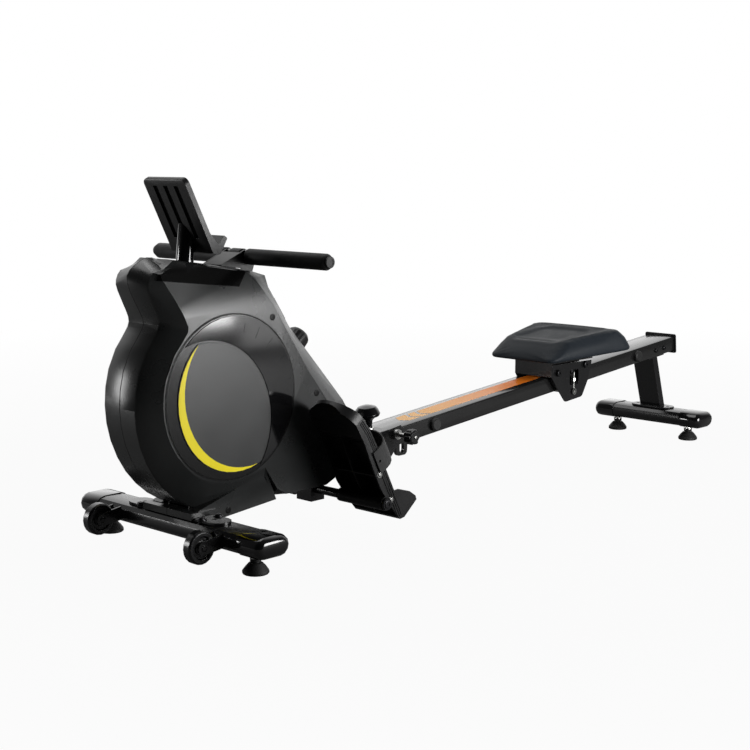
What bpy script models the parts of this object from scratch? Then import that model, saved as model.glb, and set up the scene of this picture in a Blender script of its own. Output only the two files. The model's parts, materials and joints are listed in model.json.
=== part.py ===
"""Magnetic rowing machine with a folding rail, built as separate named sub-parts.

Metres, +Z up. The rower faces -X: housing at the front (-X), seat rail to the rear (+X).
The origin is on the floor under the middle of the machine.
"""
import math

import bmesh
import bpy
from mathutils import Matrix, Vector

# Clearances and sheet sizes
GAP = 0.0003             # between pieces that touch, rest on or are screwed to each other
RUN = 0.0008             # round and beside what turns or slides
SHEET = 0.003            # folded steel plate
SHELL_WALL = 0.0025      # moulded housing
TUBE_WALL = 0.002

# Cross beams that stand on the floor
BEAM_DEPTH = 0.075       # along X
BEAM_HEIGHT = 0.037
CAP_WALL = 0.0015
CAP_COVER = 0.058        # length of beam that each end cap hides
FRONT_BEAM_LENGTH = 0.520
REAR_BEAM_LENGTH = 0.316
REAR_BEAM_X = 1.573
BEAM_AXIS_Z = 0.055
SADDLE_THICKNESS = 0.004
SADDLE_LENGTH = 0.270
SADDLE_WIDTH = 0.046

# Levelling feet
FOOT_DIAMETER = 0.048
FOOT_HEIGHT = 0.020
FOOT_STUD = 0.008
FOOT_INSET = 0.051       # from the end of the beam
FRONT_FOOT_Y = FRONT_BEAM_LENGTH / 2 - FOOT_INSET
REAR_FOOT_Y = REAR_BEAM_LENGTH / 2 - FOOT_INSET

# Transport wheels
WHEEL_DIAMETER = 0.060
WHEEL_WIDTH = 0.020
WHEEL_X = -0.074
WHEEL_Z = 0.0495
WHEEL_Y = 0.146
WHEEL_BOLT = 0.008

# Seat rail and the line that the main frame shares with it
SLOPE = math.radians(5.23)
LINE_Z = 0.092           # height of the shared centre line at X = 0
RAIL_WIDTH = 0.080
RAIL_HEIGHT = 0.038
RAIL_WALL = 0.0025
RAIL_FRONT_X = 0.456
RAIL_REAR_X = 1.600
END_PLATE_THICKNESS = 0.005
END_PLATE_OVERHANG = 0.0055
PIVOT_X = 0.536
PIVOT_LIFT = 0.009       # pivot above the rail's centre line
PIVOT_BOLT = 0.010
BUMPER_DIAMETER = 0.028
BUMPER_REACH = 0.010
BUMPER_X = (0.6625, 1.430)

# Main frame
FRAME_WIDTH = 0.060
FRAME_HEIGHT = 0.040
FRAME_REAR_X = 0.446
BRACKET_INSIDE = 0.083   # between the two walls that hold the rail
BRACKET_REAR_X = 0.560
BRACKET_TOP_REAR_X = 0.520
POST_X = (0.316, 0.352)
POST_WIDTH = 0.042
POST_FOOT_Z = 0.041
CROSSBAR_X = 0.333
CROSSBAR_Z = 0.065
CROSSBAR_DIAMETER = 0.018
CROSSBAR_HALF = 0.2085

BOLT = 0.008
SADDLE_BOLT_Y = 0.100
REAR_BOLT_Y = 0.045
UPRIGHT_TOP_X = 1.527
UPRIGHT_LEAN = math.radians(18)
LOOP_X = 0.600           # lift loop under the rail
LOOP_FOOT_Z = 0.090

# Folding lock and hand knob
LOCK_X = 0.503
LOCK_PIN = 0.010
LOCK_HOLE = 0.014
LOCK_DEPTH = 0.006       # how far the pin reaches under the top of the rail
LOCK_BOSS_LIFT = 0.0285
LOCK_HEAD_DIAMETER = 0.054
HAND_KNOB_Y = -0.088
HAND_KNOB_RADIUS = 0.0145

# Drive inside the housing
FLYWHEEL = (0.075, 0.285)
FLYWHEEL_RADIUS = 0.122
FLYWHEEL_WIDTH = 0.028
SPOOL = (0.100, 0.452)
SPOOL_RADIUS = 0.030     # where the strap leaves the reel
SPOOL_PULLEY_RADIUS = 0.048
DRIVE_PULLEY_RADIUS = 0.018
BELT_WIDTH = 0.012
BELT_THICKNESS = 0.002
SPRING_Y = (0.0345, 0.0475)
SPRING_CASE_RADIUS = 0.031
BELT_Y = 0.0415          # middle of the belt, outside the far frame plate
MAGNET_PIVOT = (0.192, 0.200)
MAGNET_PIN = 0.008
AXLE_DIAMETER = 0.012
STRAP_WIDTH = 0.028
STRAP_THICKNESS = 0.0016
GUIDE_ROLLER = (0.1225, 0.5215)
GUIDE_ROLLER_RADIUS = 0.0055
GUIDE_PIN = 0.004

# Housing
BAND_HALF = 0.045        # flat band round the middle
SIDE_HALF = 0.075        # side plane of the disc
BELLY = (0.085, 0.282)
BELLY_RADIUS = 0.212
RING = (0.0677, 0.2874)
RING_RADIUS = 0.1508
SKIRT_HALF = 0.066
HOUSING_FLOOR_Z = 0.0805
SCREW = 0.005

# Handle
HANDLE_X = 0.153
HANDLE_Z = 0.535
HANDLE_HALF = 0.242
BAR_DIAMETER = 0.025
GRIP_DIAMETER = 0.030
GRIP_START = 0.030
HOOD_HALF = 0.026

# Seat and carriage
SEAT_X = 1.139
CARRIAGE_HALF = 0.0535   # outer face of each side plate
PLATE_THICKNESS = 0.003
ROLLER_RADIUS = 0.0085
ROLLER_WIDTH = 0.018
ROLLER_Y = 0.026

# The overall length sets the middle, so that the origin is under it
NOSE_X = BELLY[0] - BELLY_RADIUS
TAIL_X = REAR_BEAM_X + BEAM_DEPTH / 2 + CAP_WALL


def material(name, colour, roughness, metallic=0.0):
    """One Principled material in the piece's own colour."""
    made = bpy.data.materials.new(name)
    made.use_nodes = True
    shader = made.node_tree.nodes["Principled BSDF"]
    shader.inputs["Base Color"].default_value = (*colour, 1.0)
    shader.inputs["Roughness"].default_value = roughness
    shader.inputs["Metallic"].default_value = metallic
    made.diffuse_color = (*colour, 1.0)
    return made


def polar(centre, radius, degrees):
    angle = math.radians(degrees)
    return (centre[0] + radius * math.cos(angle), centre[1] + radius * math.sin(angle))


def arc(centre, radius, start, end, steps):
    """Points on an arc in the XZ plane, angles in degrees from +X towards +Z."""
    return [polar(centre, radius, start + (end - start) * i / steps) for i in range(steps + 1)]


def filleted(corners, steps=4):
    """An outline from (x, z, radius) corners, each corner rounded by its radius."""
    outline = []
    count = len(corners)
    for i, (x, z, radius) in enumerate(corners):
        here = Vector((x, z))
        before = Vector(corners[i - 1][:2]) - here
        after = Vector(corners[(i + 1) % count][:2]) - here
        half = before.angle(after) / 2
        if radius <= 0 or half > math.radians(88):
            outline.append((x, z))
            continue
        reach = min(radius / math.tan(half), 0.49 * before.length, 0.49 * after.length)
        round_radius = reach * math.tan(half)
        middle = here + (before.normalized() + after.normalized()).normalized() * (
            round_radius / math.sin(half))
        first = here + before.normalized() * reach - middle
        last = here + after.normalized() * reach - middle
        turn = first.angle_signed(last)
        for j in range(steps + 1):
            angle = -turn * j / steps
            turned = Matrix.Rotation(angle, 2) @ first
            outline.append(tuple(middle + turned))
    return outline


def slot_outline(centre, half_x, half_z, steps=6):
    """A rounded slot: two half circles joined by straight sides, longer along X."""
    reach = half_x - half_z
    right = arc((centre[0] + reach, centre[1]), half_z, -90, 90, steps)
    left = arc((centre[0] - reach, centre[1]), half_z, 90, 270, steps)
    return right + left


def inset(outline, depth):
    """The outline moved inwards by depth; the outline runs anticlockwise from +X to +Z."""
    moved = []
    count = len(outline)
    for i in range(count):
        here = Vector(outline[i])
        back = (here - Vector(outline[i - 1])).normalized()
        ahead = (Vector(outline[(i + 1) % count]) - here).normalized()
        normal = (Vector((-back.y, back.x)) + Vector((-ahead.y, ahead.x))).normalized()
        share = max(0.4, normal.dot(Vector((-back.y, back.x))))
        moved.append(tuple(here + normal * (depth / share)))
    return moved


def line_z(x):
    """Height of the centre line that the rail and the main frame share."""
    return LINE_Z + x * math.tan(SLOPE)


def rail_point(x, lift=0.0):
    """An XZ point at lift square to the rail, from its centre line at x."""
    return (x - lift * math.sin(SLOPE), line_z(x) + lift * math.cos(SLOPE))


RAIL_TOP = RAIL_HEIGHT / 2
PIVOT = rail_point(PIVOT_X, PIVOT_LIFT)
BEAM_TOP_Z = BEAM_AXIS_Z + BEAM_HEIGHT / 2
BEAM_FOOT_Z = BEAM_AXIS_Z - BEAM_HEIGHT / 2
SADDLE_TOP_Z = BEAM_TOP_Z + GAP + SADDLE_THICKNESS
CENTRE_X = (NOSE_X + TAIL_X) / 2


class Shape:
    """A mesh that is built up from closed bodies, in the machine's own coordinates."""

    def __init__(self):
        self.bm = bmesh.new()

    def loft(self, rings):
        """Skin over rings of points with equal counts, closed by a face at each end."""
        rows = [[self.bm.verts.new(point) for point in ring] for ring in rings]
        count = len(rows[0])
        faces = [self.bm.faces.new(rows[0]), self.bm.faces.new(rows[-1])]
        for lower, upper in zip(rows, rows[1:]):
            for i in range(count):
                j = (i + 1) % count
                faces.append(self.bm.faces.new((lower[i], lower[j], upper[j], upper[i])))
        bmesh.ops.recalc_face_normals(self.bm, faces=faces)
        return self

    def sleeve(self, rings):
        """Skin over rings that close on themselves, the first joined to the last: a tube."""
        rows = [[self.bm.verts.new(point) for point in ring] for ring in rings]
        count = len(rows[0])
        faces = []
        for lower, upper in zip(rows, rows[1:] + rows[:1]):
            for i in range(count):
                j = (i + 1) % count
                faces.append(self.bm.faces.new((lower[i], lower[j], upper[j], upper[i])))
        bmesh.ops.recalc_face_normals(self.bm, faces=faces)
        return self

    def prism(self, outline, y0, y1):
        """An XZ outline carried along Y."""
        return self.loft([[(x, y, z) for x, z in outline] for y in (y0, y1)])

    def pair(self, outline, y0, y1):
        """The same prism on both sides of the middle plane."""
        return self.prism(outline, y0, y1).prism(outline, -y1, -y0)

    def block(self, low, high):
        (x0, y0, z0), (x1, y1, z1) = low, high
        return self.prism([(x0, z0), (x1, z0), (x1, z1), (x0, z1)], y0, y1)

    def turned(self, profile, at, axis=(0, 0, 1), segments=24):
        """Revolve (radius, height) points about an axis through a point.

        A profile that starts and ends on the axis is solid; any other is a closed ring.
        """
        spin = Vector((0, 0, 1)).rotation_difference(Vector(axis)).to_matrix()
        rows = []
        for radius, height in profile:
            if radius == 0:
                rows.append([self.bm.verts.new(Vector(at) + spin @ Vector((0, 0, height)))])
                continue
            rows.append([self.bm.verts.new(Vector(at) + spin @ Vector((
                radius * math.cos(2 * math.pi * i / segments),
                radius * math.sin(2 * math.pi * i / segments), height)))
                for i in range(segments)])
        faces = []
        closed = profile[0][0] > 0
        pairs = list(zip(rows, rows[1:]))
        if closed:
            pairs.append((rows[-1], rows[0]))
        for lower, upper in pairs:
            for i in range(segments):
                j = (i + 1) % segments
                corners = [lower[i % len(lower)], lower[j % len(lower)],
                           upper[j % len(upper)], upper[i % len(upper)]]
                faces.append(self.bm.faces.new(list(dict.fromkeys(corners))))
        bmesh.ops.recalc_face_normals(self.bm, faces=faces)
        return self

    def rod(self, start, end, radius, segments=16):
        """A plain round bar between two points."""
        axis = Vector(end) - Vector(start)
        profile = [(0, 0), (radius, 0), (radius, axis.length), (0, axis.length)]
        return self.turned(profile, start, axis.normalized(), segments)

    def mirrored(self):
        """Add the mirror image across the middle plane."""
        copy = bmesh.ops.duplicate(self.bm, geom=self.bm.verts[:] + self.bm.edges[:]
                                   + self.bm.faces[:])["geom"]
        verts = [item for item in copy if isinstance(item, bmesh.types.BMVert)]
        faces = [item for item in copy if isinstance(item, bmesh.types.BMFace)]
        for vert in verts:
            vert.co.y = -vert.co.y
        bmesh.ops.reverse_faces(self.bm, faces=faces)
        return self

    def flipped(self):
        """Turn the whole shape into its mirror image across the middle plane."""
        for vert in self.bm.verts:
            vert.co.y = -vert.co.y
        bmesh.ops.reverse_faces(self.bm, faces=self.bm.faces[:])
        return self

    def softened(self, width, segments=2, angle=40):
        """Round every edge that is sharper than the angle."""
        edges = [edge for edge in self.bm.edges
                 if edge.is_manifold and edge.calc_face_angle(0) > math.radians(angle)]
        bmesh.ops.bevel(self.bm, geom=edges, offset=width, segments=segments,
                        profile=0.5, affect="EDGES", clamp_overlap=True)
        return self

    def placed(self, name, look, joint):
        """Make the object, with its origin on the joint axis that it turns or slides on."""
        mesh = bpy.data.meshes.new(name)
        bmesh.ops.translate(self.bm, verts=self.bm.verts[:], vec=-Vector(joint["design_point"]))
        self.bm.to_mesh(mesh)
        self.bm.free()
        mesh.materials.append(look)
        mesh.shade_smooth()
        mesh.set_sharp_from_angle(angle=math.radians(32))
        made = bpy.data.objects.new(name, mesh)
        made.parent = joint
        bpy.context.scene.collection.objects.link(made)
        return made


def joint_empty(name, point, frame):
    """An empty on a joint's axis; the pieces of that body are its children."""
    empty = bpy.data.objects.new(name, None)
    empty.empty_display_size = 0.03
    empty["design_point"] = tuple(float(value) for value in point)
    empty.location = point
    if frame is not None:
        empty.parent = frame
    bpy.context.scene.collection.objects.link(empty)
    return empty


def carve(target, tool, name, operation="DIFFERENCE"):
    """Cut a shape out of an object, or join it on, and keep the tool as a hidden guide."""
    cutter = tool.placed(name, target.data.materials[0], target.parent)
    cutter.hide_render = True
    cutter.display_type = "WIRE"
    step = target.modifiers.new(name, "BOOLEAN")
    step.operation = operation
    step.solver = "EXACT"
    step.object = cutter
    return target


def oval(half_long, half_high, steps=6):
    """A beam's section: flat top and bottom with half-round sides."""
    return slot_outline((0, 0), half_long, half_high, steps)


def beam(x, length, seated, bolted):
    """A hollow oval cross beam, with drills for its feet below and its bolts above."""
    half = length / 2 - CAP_WALL - 0.008
    outer = oval(BEAM_DEPTH / 2, BEAM_HEIGHT / 2)
    inner = oval(BEAM_DEPTH / 2 - TUBE_WALL, BEAM_HEIGHT / 2 - TUBE_WALL)
    shape = Shape().sleeve([[(x + u, y, BEAM_AXIS_Z + v) for u, v in ring] for ring, y in
                            ((outer, half), (outer, -half), (inner, -half), (inner, half))])
    drills = Shape()
    for side in (-1, 1):
        drills.rod((x, side * seated, BEAM_FOOT_Z - 0.004), (x, side * seated, BEAM_FOOT_Z + 0.006),
                   FOOT_STUD / 2 + GAP)
        drills.rod((x, side * bolted, BEAM_TOP_Z - 0.004), (x, side * bolted, BEAM_TOP_Z + 0.002),
                   BOLT / 2 + GAP, 12)
    return shape, drills


def beam_cap(x, length):
    """A moulded cap that slides over a beam's end, with a domed outside."""
    grow = CAP_WALL
    long_half = BEAM_DEPTH / 2 + grow
    high_half = BEAM_HEIGHT / 2 + grow
    mouth = length / 2 - CAP_COVER
    seat = length / 2 - CAP_WALL - 0.008 + GAP
    dome = 0.013
    rings = []
    bore = oval(BEAM_DEPTH / 2 + GAP, BEAM_HEIGHT / 2 + GAP)
    rings.append([(x + u, seat, BEAM_AXIS_Z + v) for u, v in bore])
    rings.append([(x + u, mouth, BEAM_AXIS_Z + v) for u, v in bore])
    rings.append([(x + u, mouth, BEAM_AXIS_Z + v) for u, v in oval(long_half, high_half)])
    for degrees in (0, 30, 58, 80):
        angle = math.radians(degrees)
        trim = dome * (1 - math.cos(angle))
        y = length / 2 - dome + dome * math.sin(angle)
        rings.append([(x + u, y, BEAM_AXIS_Z + v)
                      for u, v in oval(long_half - trim, high_half - trim)])
    return Shape().loft(rings)


def end_cap(name, x, length, foot_y, side, looks, joint):
    """The cap of one end of a beam, with room for the stud of the foot below it."""
    shape = beam_cap(x, length)
    if side < 0:
        shape.flipped()
    made = shape.placed(name, looks["gloss"], joint)
    hole = Shape().rod((x, side * foot_y, BEAM_FOOT_Z - 0.006),
                       (x, side * foot_y, BEAM_FOOT_Z + 0.003), FOOT_STUD / 2 + 0.003)
    return carve(made, hole, name + "_foot_hole")


def levelling_foot(name, x, y, looks, frame):
    """A rubber-shod pad on a threaded stud with its lock nut, one turned piece."""
    joint = joint_empty(name + "_axis", (x, y, 0), frame)
    pad = FOOT_DIAMETER / 2
    nut_z = FOOT_HEIGHT + 0.002
    stud_top = BEAM_FOOT_Z + 0.014
    profile = [(0, 0), (pad - 0.002, 0), (pad, 0.002), (pad, 0.006),
               (pad - 0.005, 0.013), (pad * 0.52, FOOT_HEIGHT), (0.0065, FOOT_HEIGHT),
               (0.0065, nut_z), (0.010, nut_z), (0.010, nut_z + 0.006),
               (FOOT_STUD / 2, nut_z + 0.006), (FOOT_STUD / 2, stud_top), (0, stud_top)]
    return Shape().turned(profile, (x, y, 0), segments=16).placed(name, looks["rubber"], joint)


def wheel_fork(y):
    """Two welded ears that hold one transport wheel in front of the beam."""
    shape = Shape()
    nose = 0.0125
    root_x = -BEAM_DEPTH / 2 + 0.006
    outline = arc((WHEEL_X, WHEEL_Z), nose, 90, 270, 6)
    outline += [(root_x, BEAM_AXIS_Z - 0.013), (root_x, BEAM_AXIS_Z + 0.013)]
    inside = WHEEL_WIDTH / 2 + RUN
    for y0, y1 in ((y - inside - SHEET, y - inside), (y + inside, y + inside + SHEET)):
        shape.prism(outline, y0, y1)
    return shape


def front_stabilizer(looks, frame):
    shape, drills = beam(0, FRONT_BEAM_LENGTH, FRONT_FOOT_Y, SADDLE_BOLT_Y)
    made = shape.placed("front_stabilizer", looks["steel_black"], frame)
    ears = wheel_fork(-WHEEL_Y)
    ears.mirrored()
    carve(made, ears, "wheel_forks", "UNION")
    pins = Shape()
    reach = WHEEL_WIDTH / 2 + RUN + SHEET
    for side in (-WHEEL_Y, WHEEL_Y):
        pins.turned([(0, -reach - 0.003), (0.005, -reach - 0.002), (0.0065, -reach + 0.0005),
                     (WHEEL_BOLT / 2, -reach + 0.0005), (WHEEL_BOLT / 2, reach - 0.0005),
                     (0.0065, reach - 0.0005), (0.005, reach + 0.002), (0, reach + 0.003)],
                    (WHEEL_X, side, WHEEL_Z), (0, 1, 0), 10)
    carve(made, pins, "wheel_pins", "UNION")
    return carve(made, drills, "stabilizer_holes")


def transport_wheel(name, y, looks, frame):
    """A solid wheel with a raised tyre and a recessed hub."""
    joint = joint_empty(name + "_axis", (WHEEL_X, y, WHEEL_Z), frame)
    outer = WHEEL_DIAMETER / 2
    half = WHEEL_WIDTH / 2
    bore = WHEEL_BOLT / 2 + RUN
    profile = [(bore, -half), (0.0105, -half), (0.0125, -half + 0.003), (0.019, -half + 0.003),
               (0.021, -half), (outer - 0.003, -half), (outer, -half + 0.003)]
    profile += [(r, -h) for r, h in reversed(profile)]
    return Shape().turned(profile, (WHEEL_X, y, WHEEL_Z), (0, 1, 0), 20).placed(
        name, looks["tyre"], joint)


def rear_stabilizer(looks, rail_body):
    shape, drills = beam(REAR_BEAM_X, REAR_BEAM_LENGTH, REAR_FOOT_Y, REAR_BOLT_Y)
    made = shape.placed("rear_stabilizer", looks["steel_black"], rail_body)
    carve(made, drills, "rear_stabilizer_holes")
    return made


def frame_beam_outline():
    """Side outline of the main beam: sloped like the rail, cut level where it sits on the saddle."""
    half = FRAME_HEIGHT / 2 / math.cos(SLOPE)
    seat_z = SADDLE_TOP_Z - 0.001
    front_x = 0.0
    meet_x = (seat_z + half - LINE_Z) / math.tan(SLOPE)
    return [(front_x, seat_z), (meet_x, seat_z), (FRAME_REAR_X, line_z(FRAME_REAR_X) - half),
            (FRAME_REAR_X, line_z(FRAME_REAR_X) + half), (front_x, line_z(front_x) + half)]


def saddle_plate(x, length, width, z0, z1):
    """A flat plate with round ends, lying across on top of a cross beam."""
    ends = slot_outline((0, 0), length / 2, width / 2, 6)
    return [[(x + v, u, z) for u, v in ends] for z in (z0, z1)]


def bracket_wall_outline():
    """Side of the folding bracket: square at the front, round about the pivot."""
    foot = line_z(PIVOT_X) - FRAME_HEIGHT / 2 - 0.020
    top = rail_point(BRACKET_TOP_REAR_X, RAIL_TOP + RUN + SHEET)
    top_front = rail_point(FRAME_REAR_X, RAIL_TOP + RUN + SHEET)
    nose = BRACKET_REAR_X - PIVOT_X
    round_end = arc(PIVOT, nose, -60, 45, 6)
    return [(FRAME_REAR_X, foot), (PIVOT_X - 0.016, foot)] + round_end + [top, top_front]


def main_frame(looks, frame):
    """Welded steel frame: beam, saddle, inner plates, pedal post and folding bracket."""
    made = Shape().prism(frame_beam_outline(), -FRAME_WIDTH / 2, FRAME_WIDTH / 2).placed(
        "main_frame", looks["steel_black"], frame)
    hollow = [(x - 0.010 if x < 0.01 else x, z)
              for x, z in inset(frame_beam_outline(), TUBE_WALL)]
    carve(made, Shape().prism(hollow, -FRAME_WIDTH / 2 + TUBE_WALL, FRAME_WIDTH / 2 - TUBE_WALL),
          "frame_hollow")
    saddle = Shape().loft(saddle_plate(0, SADDLE_LENGTH, SADDLE_WIDTH, BEAM_TOP_Z + GAP, SADDLE_TOP_Z))
    carve(made, saddle, "saddle", "UNION")
    spine = filleted([(0.030, 0.097, 0), (0.200, 0.112, 0.004), (0.208, 0.214, 0.014),
                      (0.160, 0.360, 0.05), (0.132, 0.478, 0.014), (0.078, 0.482, 0.018),
                      (0.056, 0.430, 0.03), (0.036, 0.300, 0.05)])
    inner = FRAME_WIDTH / 2 - GAP
    carve(made, Shape().pair(spine, inner, inner + SHEET), "spine_plates", "UNION")
    cup = Shape().turned([(AXLE_DIAMETER / 2 + RUN, inner + SHEET - 0.0005),
                          (SPRING_CASE_RADIUS, inner + SHEET - 0.0005),
                          (SPRING_CASE_RADIUS, SPRING_Y[1]),
                          (SPRING_CASE_RADIUS - 0.0015, SPRING_Y[1]),
                          (SPRING_CASE_RADIUS - 0.0015, SPRING_Y[0]),
                          (AXLE_DIAMETER / 2 + RUN, SPRING_Y[0])],
                         (SPOOL[0], 0, SPOOL[1]), (0, -1, 0), 20)
    carve(made, cup, "spring_cup", "UNION")
    post = Shape().block((POST_X[0], -POST_WIDTH / 2, POST_FOOT_Z),
                         (POST_X[1], POST_WIDTH / 2, line_z(CROSSBAR_X) - FRAME_HEIGHT / 2 + 0.004))
    carve(made, post, "pedal_post", "UNION")
    wall = BRACKET_INSIDE / 2
    sides = Shape().pair(bracket_wall_outline(), wall, wall + SHEET)
    carve(made, sides, "bracket_walls", "UNION")
    foot = line_z(PIVOT_X) - FRAME_HEIGHT / 2 - 0.020
    low, high = RAIL_TOP + RUN, RAIL_TOP + RUN + SHEET + 0.0002
    front = FRAME_REAR_X - 0.001
    angle = [(front, foot + 0.0005), (FRAME_REAR_X + SHEET, foot + 0.0005),
             rail_point(FRAME_REAR_X + SHEET, low), rail_point(BRACKET_TOP_REAR_X - 0.001, low),
             rail_point(BRACKET_TOP_REAR_X - 0.001, high), rail_point(front + 0.0017, high)]
    carve(made, Shape().prism(angle, -wall - 0.001, wall + 0.001), "bracket_angle", "UNION")
    lift = RAIL_TOP + RUN + SHEET
    boss_start = rail_point(LOCK_X, lift - 0.001)
    boss_end = rail_point(LOCK_X, LOCK_BOSS_LIFT)
    carve(made, Shape().rod((boss_start[0], 0, boss_start[1]), (boss_end[0], 0, boss_end[1]),
                            LOCK_PIN / 2 + 0.0045, 20), "lock_boss", "UNION")
    reach = FRAME_WIDTH / 2 + SHEET - 0.001
    carve(made, Shape().rod((MAGNET_PIVOT[0], -reach, MAGNET_PIVOT[1]),
                            (MAGNET_PIVOT[0], reach, MAGNET_PIVOT[1]), MAGNET_PIN / 2, 14),
          "magnet_pin", "UNION")
    holes = Shape()
    pin_low = rail_point(LOCK_X, 0.012)
    pin_high = rail_point(LOCK_X, LOCK_BOSS_LIFT + 0.004)
    holes.rod((pin_low[0], 0, pin_low[1]), (pin_high[0], 0, pin_high[1]), LOCK_PIN / 2 + GAP, 20)
    holes.rod((PIVOT_X, -0.06, PIVOT[1]), (PIVOT_X, 0.06, PIVOT[1]), PIVOT_BOLT / 2 + GAP)
    holes.rod((CROSSBAR_X, -0.04, CROSSBAR_Z), (CROSSBAR_X, 0.04, CROSSBAR_Z),
              CROSSBAR_DIAMETER / 2 + GAP, 20)
    for x, z in (FLYWHEEL, SPOOL):
        holes.rod((x, -0.05, z), (x, 0.05, z), AXLE_DIAMETER / 2 + GAP)
    for y in (-SADDLE_BOLT_Y, SADDLE_BOLT_Y):
        holes.rod((0, y, BEAM_TOP_Z - 0.002), (0, y, SADDLE_TOP_Z + 0.002), BOLT / 2 + GAP, 12)
    carve(made, holes, "frame_holes")
    return made


def pedal_crossbar(looks, frame):
    """A round bar through the post, with a flange at each end; the foot plates turn on it."""
    radius, flange = CROSSBAR_DIAMETER / 2, CROSSBAR_DIAMETER / 2 + 0.0035
    half = CROSSBAR_HALF
    profile = [(0, -half - 0.0035), (flange - 0.001, -half - 0.0035), (flange, -half - 0.0025),
               (flange, -half), (radius, -half), (radius, half), (flange, half),
               (flange, half + 0.0025), (flange - 0.001, half + 0.0035), (0, half + 0.0035)]
    return Shape().turned(profile, (CROSSBAR_X, 0, CROSSBAR_Z), (0, 1, 0), 20).placed(
        "pedal_crossbar", looks["zinc"], frame)


def rail_ring(x, half_width, half_height):
    """A rectangle square to the rail at x, with softened corners."""
    corner = 0.004
    section = filleted([(half_width, -half_height, corner), (half_width, half_height, corner),
                        (-half_width, half_height, corner), (-half_width, -half_height, corner)], 2)
    ring = []
    for y, lift in section:
        px, pz = rail_point(x, lift)
        ring.append((px, y, pz))
    return ring


def seat_rail(looks, rail_body):
    """The sloping seat rail: a box tube with its pivot, lock and bumper holes and lift loop."""
    half_w = RAIL_WIDTH / 2
    shape = Shape().sleeve([rail_ring(RAIL_FRONT_X, half_w, RAIL_TOP),
                            rail_ring(RAIL_REAR_X, half_w, RAIL_TOP),
                            rail_ring(RAIL_REAR_X, half_w - RAIL_WALL, RAIL_TOP - RAIL_WALL),
                            rail_ring(RAIL_FRONT_X, half_w - RAIL_WALL, RAIL_TOP - RAIL_WALL)])
    made = shape.placed("rail", looks["rail_grey"], rail_body)
    top_z = rail_point(LOOP_X, -RAIL_TOP)[1]
    loop = filleted([(LOOP_X - 0.019, top_z + 0.0012, 0), (LOOP_X - 0.016, LOOP_FOOT_Z, 0.009),
                     (LOOP_X + 0.016, LOOP_FOOT_Z, 0.009), (LOOP_X + 0.019, top_z + 0.0028, 0)], 5)
    carve(made, Shape().prism(loop, -0.004, 0.004), "lift_loop", "UNION")
    holes = Shape()
    eye = [(LOOP_X + u, (top_z + LOOP_FOOT_Z) / 2 - 0.0015 + v)
           for v, u in slot_outline((0, 0), 0.0125, 0.0065, 6)]
    holes.prism(list(reversed(eye)), -0.006, 0.006)
    holes.rod((PIVOT_X, -0.06, PIVOT[1]), (PIVOT_X, 0.06, PIVOT[1]), PIVOT_BOLT / 2 + RUN)
    low = rail_point(LOCK_X, RAIL_TOP - RAIL_WALL - 0.002)
    high = rail_point(LOCK_X, RAIL_TOP + 0.002)
    holes.rod((low[0], 0, low[1]), (high[0], 0, high[1]), LOCK_HOLE / 2, 20)
    for x in BUMPER_X:
        at = rail_point(x, 0)
        holes.rod((at[0], -0.05, at[1]), (at[0], 0.05, at[1]), BOLT / 2 + GAP, 12)
    carve(made, holes, "rail_holes")
    return made


def rail_end_cap(looks, rail_body):
    """A moulded plate with a plug that closes the rear end of the rail."""
    over = END_PLATE_OVERHANG
    plug_w = RAIL_WIDTH / 2 - RAIL_WALL - GAP
    plug_h = RAIL_TOP - RAIL_WALL - GAP
    outside = RAIL_REAR_X + END_PLATE_THICKNESS
    rings = [rail_ring(RAIL_REAR_X - 0.018, plug_w, plug_h),
             rail_ring(RAIL_REAR_X + GAP, plug_w, plug_h),
             rail_ring(RAIL_REAR_X + GAP, RAIL_WIDTH / 2 + over, RAIL_TOP + over),
             rail_ring(outside - 0.001, RAIL_WIDTH / 2 + over, RAIL_TOP + over),
             rail_ring(outside, RAIL_WIDTH / 2 + over - 0.001, RAIL_TOP + over - 0.001)]
    return Shape().loft(rings).placed("rail_end_cap", looks["moulded"], rail_body)


def rail_bumper(name, x, looks, rail_body):
    """A rod through the rail with a rubber stop moulded on each end."""
    radius, wall = BUMPER_DIAMETER / 2, RAIL_WIDTH / 2
    half = [(BOLT / 2, wall + GAP), (radius, wall + GAP), (radius, wall + BUMPER_REACH - 0.003),
            (radius - 0.003, wall + BUMPER_REACH), (0, wall + BUMPER_REACH)]
    profile = [(r, -along) for r, along in reversed(half)] + half
    at = rail_point(x, 0)
    return Shape().turned(profile, (at[0], 0, at[1]), (0, 1, 0), 18).placed(
        name, looks["rubber"], rail_body)


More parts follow.
